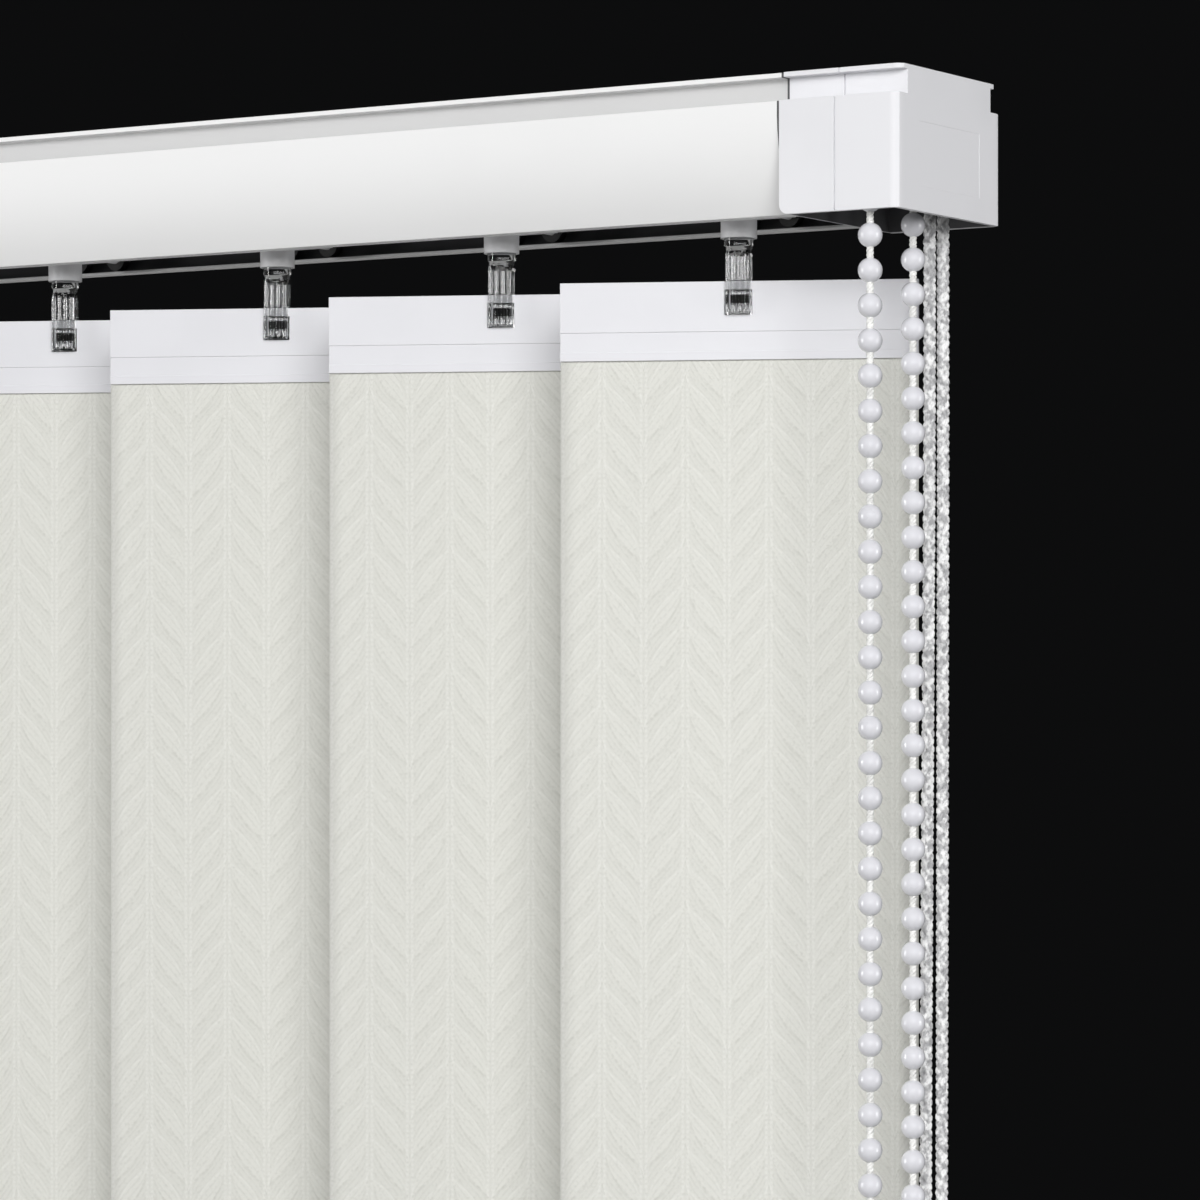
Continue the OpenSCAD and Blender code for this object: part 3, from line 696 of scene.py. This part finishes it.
@dataclass
class Route:
    """A cord's centreline, a smooth curve through a few points."""

    points: list[Vector]

    def sampled(self, step: float) -> list[Vector]:
        """Samples the curve at an even distance.

        Args:
            step: the distance between samples in metres.

        Returns:
            The samples, with both ends.
        """
        fine: list[Vector] = []
        last = len(self.points) - 1
        for index in range(last):
            before = self.points[max(index - 1, 0)]
            start, end = self.points[index], self.points[index + 1]
            after = self.points[min(index + 2, last)]
            pieces = max(4, round((end - start).length / step))
            fine += [self.curve(before, start, end, after, part / pieces) for part in range(pieces)]
        return fine + [self.points[last]]

    @staticmethod
    def curve(before: Vector, start: Vector, end: Vector, after: Vector, share: float) -> Vector:
        """Gives a point of the smooth curve between two points.

        Args:
            before: the point ahead of the stretch.
            start: the stretch's start.
            end: the stretch's end.
            after: the point past the stretch.
            share: the way along the stretch, from 0 to 1.

        Returns:
            The point.
        """
        square, cube = share * share, share ** 3
        return 0.5 * (2 * start + (end - before) * share
                      + (2 * before - 5 * start + 4 * end - after) * square
                      + (3 * start - before - 3 * end + after) * cube)

    def length(self) -> float:
        """Gives the curve's length in metres."""
        line = self.sampled(2 * MM)
        return sum((b - a).length for a, b in zip(line, line[1:]))


class Lay(Enum):
    """How a cord's yarns lie: all one way round, or half of them each way."""

    TWISTED = 1
    BRAIDED = 2


@dataclass(frozen=True)
class YarnCord:
    """A cord made of yarns that wind round its centreline."""

    diameter: float
    yarns: int
    yarn_diameter: float
    turn_length: float
    lay: Lay
    steps_per_turn: int
    weave: float = 0.0

    def build(self, name: str, route: Route, material: bpy.types.Material) -> bpy.types.Object:
        """Winds the yarns along a route and joins them into one mesh.

        Args:
            name: the piece's name.
            route: the cord's centreline.
            material: the yarn's finish.

        Returns:
            The cord's object.
        """
        curve = bpy.data.curves.new(name + "_yarns", "CURVE")
        curve.dimensions = "3D"
        curve.bevel_depth = self.yarn_diameter / 2
        curve.bevel_resolution = 1
        curve.use_fill_caps = True
        line = route.sampled(self.turn_length / self.steps_per_turn)
        ways = (1, -1) if self.lay is Lay.BRAIDED else (1,)
        for way in ways:
            for number in range(self.yarns // len(ways)):
                start = 2 * math.pi * number * len(ways) / self.yarns
                self.wind(curve, line, way, start)
        maker = bpy.data.objects.new(name + "_maker", curve)
        bpy.context.scene.collection.objects.link(maker)
        mesh = bpy.data.meshes.new_from_object(maker.evaluated_get(bpy.context.evaluated_depsgraph_get()))
        bpy.data.objects.remove(maker)
        mesh.name = name
        mesh.materials.clear()
        mesh.materials.append(material)
        piece = bpy.data.objects.new(name, mesh)
        bpy.context.scene.collection.objects.link(piece)
        return piece

    def wind(self, curve: bpy.types.Curve, line: Sequence[Vector], way: int, start: float) -> None:
        """Adds one yarn to the curve.

        Args:
            curve: the curve that takes the yarn.
            line: the cord's centreline, evenly sampled.
            way: 1 for a right-handed yarn, -1 for a left-handed one.
            start: the yarn's angle at the cord's start.
        """
        spline = curve.splines.new("POLY")
        spline.points.add(len(line) - 1)
        middle = (self.diameter - self.yarn_diameter) / 2 - self.weave
        run = 0.0
        for index, point in enumerate(line):
            ahead = line[min(index + 1, len(line) - 1)]
            behind = line[max(index - 1, 0)]
            forward = (ahead - behind).normalized()
            side = Vector((1, 0, 0))
            side = (side - forward * side.dot(forward)).normalized()
            up = forward.cross(side)
            run += (point - behind).length
            turns = 2 * math.pi * run / self.turn_length
            angle = start + way * turns
            reach = middle + way * self.weave * math.cos(turns * self.yarns / 2)
            place = point + reach * (math.cos(angle) * side + math.sin(angle) * up)
            spline.points[index].co = (*place, 1.0)


@dataclass
class BeadChain:
    """The endless chain that tilts the vanes: beads on a twisted thread."""

    bead_diameter: float = 6 * MM
    bead_pitch: float = 8.4 * MM
    bead_phase: float = 0.256
    wheel_pockets: int = 8
    strand_steps: int = 132
    loop_points: int = 160
    wheel_points: int = 12
    thread: YarnCord = field(
        default_factory=lambda: YarnCord(1.9 * MM, 3, 0.95 * MM, 3.2 * MM, Lay.TWISTED, 8))

    def __post_init__(self) -> None:
        """Works out the wheel's radius, the length of a strand and of a bend, and the beads' number."""
        self.radius = self.wheel_pockets * self.bead_pitch / (2 * math.pi)
        self.strand = self.strand_steps * self.bead_pitch / 2
        self.bend = math.pi * self.radius
        self.count = round(2 * (self.strand + self.bend) / self.bead_pitch)

    def place(self, run: float) -> Vector:
        """Gives a point of the loop: down the front, round the foot, up the back and over the wheel.

        Args:
            run: the distance from the front of the wheel, in metres.

        Returns:
            The point, from the wheel's centre.
        """
        if run < self.strand:
            return Vector((0, -self.radius, -run))
        if run < self.strand + self.bend:
            return self.round_bend((run - self.strand) / self.radius, -self.strand)
        if run < 2 * self.strand + self.bend:
            return Vector((0, self.radius, run - 2 * self.strand - self.bend))
        return self.round_bend(math.pi + (run - 2 * self.strand - self.bend) / self.radius, 0)

    def round_bend(self, turn: float, height: float) -> Vector:
        """Gives a point of a half circle.

        Args:
            turn: the angle from the front, in radians.
            height: the half circle's centre, from the wheel's.

        Returns:
            The point, from the wheel's centre.
        """
        return Vector((0, -self.radius * math.cos(turn), height - self.radius * math.sin(turn)))

    def build(self, frame: dict, finishes: Finishes) -> list[bpy.types.Object]:
        """Args:
            frame: the loaded frame.
            finishes: the materials.

        Returns:
            The thread, the thread on the wheel and the beads.
        """
        centre = joint_place(frame, "tilt_drive_turn")
        yarn = finishes.get(Yarn.CHAIN)
        free = 2 * self.strand + self.bend
        points = [self.place(free * step / self.loop_points) for step in range(self.loop_points)]
        points.append(Vector((0, self.radius, 0)))
        loop = Route([centre + point for point in points])
        thread = self.thread.build("chain_thread", loop, yarn)
        turns = [math.pi * (1 + step / self.wheel_points) for step in range(self.wheel_points + 1)]
        over = Route([centre + self.round_bend(turn, 0) for turn in turns])
        wheel_thread = self.thread.build("chain_thread_on_wheel", over, yarn)
        beads = self.beads(centre, finishes)
        for piece in (thread, wheel_thread, beads):
            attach(piece, "root")
            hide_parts("bead_chain")
        exit_point = centre + Vector((0, -self.radius, 0))
        exit_point.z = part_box("end_cover")[0].z
        loop.sampled(2 * MM)
        return [thread, wheel_thread, beads]

    def beads(self, centre: Vector, finishes: Finishes) -> bpy.types.Object:
        """Makes every bead of the loop, as one mesh.

        Args:
            centre: the wheel's centre.
            finishes: the materials.

        Returns:
            The beads.
        """
        shape = bmesh.new()
        for number in range(self.count):
            place = centre + self.place((number + self.bead_phase) * self.bead_pitch)
            bmesh.ops.create_uvsphere(shape, u_segments=20, v_segments=12, radius=self.bead_diameter / 2,
                                      matrix=Matrix.Translation(place))
        return mesh_object("chain_beads", shape, finishes.get(Palette.BEAD))


@dataclass
class DrawCord:
    """The two hanging strands of the draw cord, braided, with the weight at their foot.

    The hang of each strand is a list of sideways and backward drifts and depths in millimetres.
    """

    cord_x: float = 221.5 * MM
    start_depth: float = 22.3 * MM
    diameter: float = 3.1 * MM
    braid: YarnCord = field(
        default_factory=lambda: YarnCord(3.4 * MM, 8, 1.05 * MM, 15 * MM, Lay.BRAIDED, 24, 0.33 * MM))
    front_hang: tuple[tuple[float, float, float], ...] = (
        (0, 0, 34), (0, 0, 60), (-0.1, 0, 100), (-0.3, -0.1, 140), (-0.5, -0.2, 180), (-0.7, -0.3, 220),
        (-0.9, -0.3, 260), (-0.9, -0.2, 300), (-0.8, 0, 350), (-0.6, 0.3, 400), (-0.2, 0.8, 460),
        (0.2, 1.3, 520), (0.5, 1.7, 580), (0.5, 1.8, 640))
    rear_hang: tuple[tuple[float, float, float], ...] = (
        (0, 0, 34), (0, 0, 60), (0, 0, 100), (-0.1, 0, 140), (-0.2, 0.1, 180), (-0.3, 0.1, 220),
        (-0.4, 0.1, 260), (-0.4, 0, 300), (-0.3, -0.2, 350), (-0.1, -0.5, 400), (0.1, -0.9, 460),
        (0.3, -1.3, 520), (0.5, -1.7, 580), (0.5, -1.8, 640))

    def build(self, frame: dict, finishes: Finishes) -> list[bpy.types.Object]:
        """Args:
            frame: the loaded frame.
            finishes: the materials.

        Returns:
            The weight and the two strands.
        """
        yarn = finishes.get(Yarn.DRAW_CORD)
        weight = EasedCopy("cord_weight", 0.4).build(frame, finishes.get(Palette.MOULDED_END))
        made = [weight]
        for name, pulley, hang in (("front_strand", "front_pulley_turn", self.front_hang),
                                   ("rear_strand", "rear_pulley_turn", self.rear_hang)):
            back = joint_place(frame, pulley).y
            top = Vector((self.cord_x, back, -self.start_depth))
            drop = [Vector((self.cord_x + x * MM, back + y * MM, -depth * MM)) for x, y, depth in hang]
            route = Route([top, *drop])
            strand = self.braid.build(name + "_braid", route, yarn)
            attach(strand, "root")
            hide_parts(name)
            route.length()
            route.sampled(2 * MM)
            made.append(strand)
        return made


@dataclass
class Vane:
    """One vane: a sheet of leaf-woven cloth with a sewn pocket at its foot."""

    number: int
    width: float = 89 * MM
    thickness: float = 0.5 * MM
    top: float = -61.3 * MM
    fold_radius: float = 0.95 * MM
    hem: float = 34 * MM
    columns: int = 18
    rows: int = 150
    fold_steps: int = 8
    wave: float = 0.55 * MM
    stitch: float = 2.4 * MM
    stitch_pitch: float = 3.2 * MM
    held_flat: float = 20 * MM
    hang_ease: float = 120 * MM
    weight_ease: float = 60 * MM
    pocket_close: float = 0.15

    UV_NAME = "cloth"

    def __post_init__(self) -> None:
        """Takes the vane's foot from its solid and works out the flat length."""
        self.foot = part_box(f"vane_{self.number}")[0].z
        self.fold_height = self.foot + self.thickness / 2 + self.fold_radius
        self.front_length = self.top - self.fold_height
        self.back_length = self.foot + self.hem - self.fold_height
        self.length = self.front_length + math.pi * self.fold_radius + self.back_length

    def build(self, frame: dict, cloth: bpy.types.Material,
              yarn: bpy.types.Material) -> list[bpy.types.Object]:
        """Args:
            frame: the loaded frame.
            cloth: the cloth's material.
            yarn: the stitches' material.

        Returns:
            The cloth and the stitches.
        """
        turned = Matrix.Translation(joint_place(frame, f"vane_{self.number}_tilt") * Vector((1, 1, 0)))
        turned = turned @ Matrix.Rotation(VANE_TURN, 4, "Z")
        sheet = self.sheet(turned, cloth)
        seam = self.seam(turned, yarn)
        for piece in (sheet, seam):
            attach(piece, f"vane_{self.number}")
        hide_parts(f"vane_{self.number}")
        return [sheet, seam]

    def sheet(self, turned: Matrix, cloth: bpy.types.Material) -> bpy.types.Object:
        """Makes the cloth: a straight drop, a fold round the foot and the pocket's back.

        Args:
            turned: the vane's place and turn.
            cloth: the cloth's material.

        Returns:
            The sheet.
        """
        shape = bmesh.new()
        bmesh.ops.create_grid(shape, x_segments=self.columns, y_segments=self.rows, size=0.5)
        bmesh.ops.scale(shape, vec=(self.width, self.front_length, 1), verts=shape.verts)
        bmesh.ops.rotate(shape, matrix=Matrix.Rotation(math.pi / 2, 3, "X"), verts=shape.verts)
        bmesh.ops.translate(shape, vec=(0, 0, self.top - self.front_length / 2), verts=shape.verts)
        low = self.fold_height + 0.1 * MM
        lowest = [edge for edge in shape.edges if all(vert.co.z < low for vert in edge.verts)]
        made = bmesh.ops.spin(shape, geom=lowest, cent=(0, self.fold_radius, self.fold_height),
                              axis=(1, 0, 0), angle=math.pi, steps=self.fold_steps)
        last = [item for item in made["geom_last"] if isinstance(item, bmesh.types.BMEdge)]
        for part in (0.5, 0.4, 0.1):
            made = bmesh.ops.extrude_edge_only(shape, edges=last)["geom"]
            verts = [item for item in made if isinstance(item, bmesh.types.BMVert)]
            last = [item for item in made if isinstance(item, bmesh.types.BMEdge)]
            last = [edge for edge in last if abs(edge.verts[0].co.z - edge.verts[1].co.z) < 0.01 * MM]
            bmesh.ops.translate(shape, vec=(0, 0, part * self.back_length), verts=verts)
        bmesh.ops.recalc_face_normals(shape, faces=shape.faces)
        self.lay_uv(shape)
        self.relax(shape)
        bmesh.ops.transform(shape, matrix=turned, verts=shape.verts)
        piece = mesh_object(f"vane_{self.number}_cloth", shape, cloth)
        thick = piece.modifiers.new("cloth_thickness", "SOLIDIFY")
        thick.thickness = self.thickness
        thick.offset = 0
        return piece

    def run_of(self, place: Vector) -> float:
        """Gives the length along the cloth from its top edge.

        Args:
            place: a point of the unturned sheet, before it is relaxed.

        Returns:
            The length in metres.
        """
        if place.z < self.fold_height:
            turn = math.atan2(self.fold_height - place.z, self.fold_radius - place.y)
            return self.front_length + turn * self.fold_radius
        if place.y > self.fold_radius:
            return self.front_length + math.pi * self.fold_radius + place.z - self.fold_height
        return self.top - place.z

    def lay_uv(self, shape: bmesh.types.BMesh) -> None:
        """Maps the flat cloth onto 0 to 1 each way, with the top edge at 1.

        Args:
            shape: the unturned sheet.
        """
        layer = shape.loops.layers.uv.new(self.UV_NAME)
        for face in shape.faces:
            for loop in face.loops:
                across = loop.vert.co.x / self.width + 0.5
                loop[layer].uv = (across, 1 - self.run_of(loop.vert.co) / self.length)

    def relax(self, shape: bmesh.types.BMesh) -> None:
        """Lets the cloth bow a little between its hanger and its weight, and closes the pocket's top.

        Args:
            shape: the unturned sheet.
        """
        seam_height = self.foot + self.hem
        closing = self.pocket_close * self.hem
        for vert in shape.verts:
            place = vert.co.copy()
            if place.y > self.fold_radius and place.z > seam_height - closing:
                share = (place.z - seam_height) / closing + 1
                vert.co.y -= (2 * self.fold_radius - self.thickness) * share ** 2
            hang = min(1.0, max(0.0, (self.top - self.held_flat - place.z) / self.hang_ease))
            free = hang * min(1.0, max(0.0, (place.z - seam_height) / self.weight_ease))
            slow = math.sin(place.z * 9 + self.number * 1.7)
            quick = math.sin(place.z * 23 + self.number * 0.9)
            curl = (2 * place.x / self.width) ** 2 * math.sin(place.z * 14 + self.number)
            vert.co.y += free * self.wave * (0.5 * (slow + 0.6 * quick) + 0.6 * curl)

    def seam(self, turned: Matrix, yarn: bpy.types.Material) -> bpy.types.Object:
        """Sews the pocket: a row of stitches on the front and on the back of the cloth.

        Args:
            turned: the vane's place and turn.
            yarn: the stitches' material.

        Returns:
            The stitches.
        """
        shape = bmesh.new()
        count = int((self.width - 4 * MM) / self.stitch_pitch)
        height = self.foot + self.hem - 1.0 * MM
        sides = (-self.thickness / 2, 1.5 * self.thickness)
        size = Matrix.Diagonal((self.stitch / 2, 0.16 * MM, 0.22 * MM, 1))
        for number in range(count):
            across = (number - (count - 1) / 2) * self.stitch_pitch
            for side in sides:
                place = Matrix.Translation((across, side, height))
                bmesh.ops.create_uvsphere(shape, u_segments=8, v_segments=6, radius=1, matrix=place @ size)
        bmesh.ops.transform(shape, matrix=turned, verts=shape.verts)
        return mesh_object(f"vane_{self.number}_seam", shape, yarn)


@dataclass
class HardParts:
    """The moulded, extruded and turned pieces that keep their CAD form."""

    shells: tuple[tuple[str, float], ...] = (("control_housing", 0.25), ("idle_end_cap", 0.25))
    plain: tuple[tuple[str, Palette], ...] = (
        ("tilt_rod", Palette.ROD), ("chain_wheel", Palette.WHEEL), ("pulley_pin", Palette.STEEL),
        ("front_pulley", Palette.WHEEL), ("rear_pulley", Palette.WHEEL), ("idle_pulley_pin", Palette.STEEL),
        ("idle_pulley", Palette.WHEEL))
    per_vane_eased: tuple[tuple[str, float, Palette], ...] = (
        ("hanger", 0.25, Palette.HANGER), ("hook", 0.08, Palette.CLEAR_HOOK))
    per_vane_plain: tuple[tuple[str, Palette], ...] = (
        ("worm", Palette.WHEEL), ("foot_weight", Palette.WEIGHT))

    def build(self, frame: dict, finishes: Finishes) -> None:
        """Eases what shows and gives every hard node its finish.

        Args:
            frame: the loaded frame.
            finishes: the materials.
        """
        numbers = range(1, VANE_COUNT + 1)
        eased = [(f"{name}_{i}", edge, finish)
                 for name, edge, finish in self.per_vane_eased for i in numbers]
        plain = [*self.plain]
        plain += [(f"{name}_{i}", finish) for name, finish in self.per_vane_plain for i in numbers]
        plain += [(f"spacer_strip_{i}", Palette.STEEL) for i in numbers[:-1]]
        # The near-black inside colour: painted shade on the insides of the rail, housing, idle cap and
        # cover.
        dark = finishes.get(Palette.PAINTED_SHADE_INSIDE)
        rail = Headrail("headrail", 0.18)
        painted = rail.build(frame, finishes.get(Palette.COATED_RAIL))
        rail.line(painted, dark)
        # Painted shade on the rail's neck and on its end in the housing.
        rail.paint(painted, finishes.get(Palette.PAINTED_SHADE_NECK))
        for node, edge in self.shells:
            shell = LinedShell(node, edge, joint=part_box("end_cover")[0].x)
            shell.line(shell.build(frame, finishes.get(Palette.MOULDED_END)), dark)
        cover = EndCover("end_cover", 0.1)
        moulded = cover.build(frame, finishes.get(Palette.MOULDED_END))
        cover.line(moulded, dark)
        cover.lift_panel(moulded)
        for i in numbers:
            carrier = Carrier(f"carrier_{i}", 0.15)
            carrier.shoe(carrier.build(frame, finishes.get(Palette.CARRIER)),
                         finishes.get(Palette.TYRE))
        for node, edge, finish in eased:
            piece = EasedCopy(node, edge).build(frame, finishes.get(finish))
            LOG.info("eased %s, %d faces", piece.name, len(piece.data.polygons))
        for node, finish in plain:
            self.dress(frame["nodes"][node], finishes.get(finish))
        self.dress(frame["nodes"]["rail_cord"], finishes.get(Yarn.RAIL_CORD))

    @staticmethod
    def dress(node: bpy.types.Object, material: bpy.types.Material) -> None:
        """Gives a CAD node one material."""
        node.data.materials.clear()
        node.data.materials.append(material)


@dataclass(frozen=True)
class SoftLamp:
    """An oblong soft lamp: its light, whether glossy pieces mirror it and whether clear ones show it."""

    name: str
    place: tuple[float, float, float]
    size: tuple[float, float]
    power: float
    glints: bool = True
    through: bool = True
    spread: float = math.radians(100)

    def hang(self, target: Vector) -> None:
        """Hangs the lamp so that it faces a point.

        Args:
            target: the point.
        """
        data = bpy.data.lights.new(self.name, "AREA")
        data.shape = "RECTANGLE"
        data.size, data.size_y = self.size
        data.spread = self.spread
        data.energy = self.power
        lamp = bpy.data.objects.new(self.name, data)
        lamp.location = self.place
        lamp.visible_camera = False
        lamp.visible_glossy = self.glints
        lamp.visible_transmission = self.through
        lamp.rotation_euler = (target - lamp.location).to_track_quat("-Z", "Y").to_euler()
        bpy.context.scene.collection.objects.link(lamp)


@dataclass
class Studio:
    """The camera at the photograph's view, a pale floor and soft light.

    Half of the soft box doesn't show in the clear hooks, where it would wash out their ribs.
    """

    eye: Vector = field(default_factory=lambda: Vector((0.8215, -1.1005, -0.1691)))
    yaw: float = math.radians(32.03)
    lens: float = 154.95
    rise: float = 0.1459
    floor_gap: float = 2.0
    light_below: float = 0.05
    light_above: float = 0.24
    backdrop: Colour = (0.004, 0.0041, 0.0043)
    lit_point: Vector = field(default_factory=lambda: Vector((0.1, 0, -0.2)))
    lamps: tuple[SoftLamp, ...] = (
        SoftLamp("soft_box", (1.4, -1.78, 0.45), (1.8, 1.0), 8.25, glints=False),
        SoftLamp("soft_box_veil", (1.414, -1.7978, 0.4545), (1.8, 1.0), 8.25, glints=False, through=False),
        SoftLamp("left_strip", (-1.5, -1.35, -0.1), (0.3, 1.2), 4),
        SoftLamp("right_strip", (2.2, 0.35, -0.1), (0.3, 1.2), 2.3),
        SoftLamp("back_box", (-1.4, 1.78, 0.45), (1.8, 1.0), 9, glints=False, through=False))

    def build(self) -> None:
        """Makes the camera, the floor, the lamps and the world."""
        self.camera()
        self.floor()
        self.world()
        for lamp in self.lamps:
            lamp.hang(self.lit_point)

    def camera(self) -> None:
        """Sets a level camera with the photograph's shift."""
        data = bpy.data.cameras.new("photo_view")
        data.lens = self.lens
        data.sensor_width = 36
        data.shift_y = self.rise
        data.clip_start = 0.05
        data.clip_end = 60
        camera = bpy.data.objects.new("photo_view", data)
        camera.location = self.eye
        camera.rotation_euler = (math.pi / 2, 0, self.yaw)
        bpy.context.scene.collection.objects.link(camera)
        bpy.context.scene.camera = camera

    def floor(self) -> None:
        """Lays a pale floor under the hanging blind."""
        shape = bmesh.new()
        bmesh.ops.create_grid(shape, x_segments=1, y_segments=1, size=9)
        bmesh.ops.translate(shape, vec=(0, 0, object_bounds()[0].z - self.floor_gap), verts=shape.verts)
        mesh_object("floor", shape, Palette.FLOOR.value.material())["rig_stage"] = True

    def world(self) -> None:
        """Lights the room softly, more from above, and shows a plain dark backdrop."""
        scene = bpy.context.scene
        scene.view_settings.view_transform = "Standard"
        world = bpy.data.worlds.new("soft_room")
        world.use_nodes = True
        scene.world = world
        tree = world.node_tree
        room = tree.nodes["Background"]
        room.inputs["Color"].default_value = (1, 1, 1, 1)
        way = tree.nodes.new("ShaderNodeSeparateXYZ")
        tree.links.new(tree.nodes.new("ShaderNodeTexCoord").outputs["Generated"], way.inputs[0])
        level = tree.nodes.new("ShaderNodeMapRange")
        for socket, value in zip(level.inputs[1:5], (-0.5, 0.6, self.light_below, self.light_above)):
            socket.default_value = value
        tree.links.new(way.outputs["Z"], level.inputs[0])
        tree.links.new(level.outputs[0], room.inputs["Strength"])
        backdrop = tree.nodes.new("ShaderNodeBackground")
        backdrop.inputs["Color"].default_value = (*self.backdrop, 1)
        rays = tree.nodes.new("ShaderNodeLightPath")
        seen = rays.outputs["Is Camera Ray"]
        for kind in ("Is Glossy Ray", "Is Transmission Ray"):
            either = tree.nodes.new("ShaderNodeMath")
            either.operation = "MAXIMUM"
            tree.links.new(seen, either.inputs[0])
            tree.links.new(rays.outputs[kind], either.inputs[1])
            seen = either.outputs[0]
        choose = tree.nodes.new("ShaderNodeMixShader")
        tree.links.new(seen, choose.inputs[0])
        tree.links.new(room.outputs[0], choose.inputs[1])
        tree.links.new(backdrop.outputs[0], choose.inputs[2])
        tree.links.new(choose.outputs[0], tree.nodes["World Output"].inputs[0])


def joint_place(frame: dict, name: str) -> Vector:
    """Gives a joint's place.

    Args:
        frame: the loaded frame.
        name: the joint's name.

    Returns:
        The place in metres.
    """
    return Vector(next(joint["pos_m"] for joint in frame["joints"] if joint["name"] == name))


def main() -> None:
    """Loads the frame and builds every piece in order."""
    logging.basicConfig(level=logging.INFO, format="%(name)s: %(message)s")
    for name in ("Cube", "Light", "Camera"):
        if name in bpy.data.objects:
            bpy.data.objects.remove(bpy.data.objects[name])
    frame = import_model()
    finishes = Finishes()
    Studio().build()
    made = BeadChain().build(frame, finishes)
    made += DrawCord().build(frame, finishes)
    sample = Vane(1)
    cloth = LeafCloth().material(sample.width, sample.length)
    yarn = finishes.get(Yarn.SEAM)
    for number in range(1, VANE_COUNT + 1):
        made += Vane(number).build(frame, cloth, yarn)
    HardParts().build(frame, finishes)
    for piece in made:
        LOG.info("built %s", piece.name)


if __name__ == "__main__":
    main()
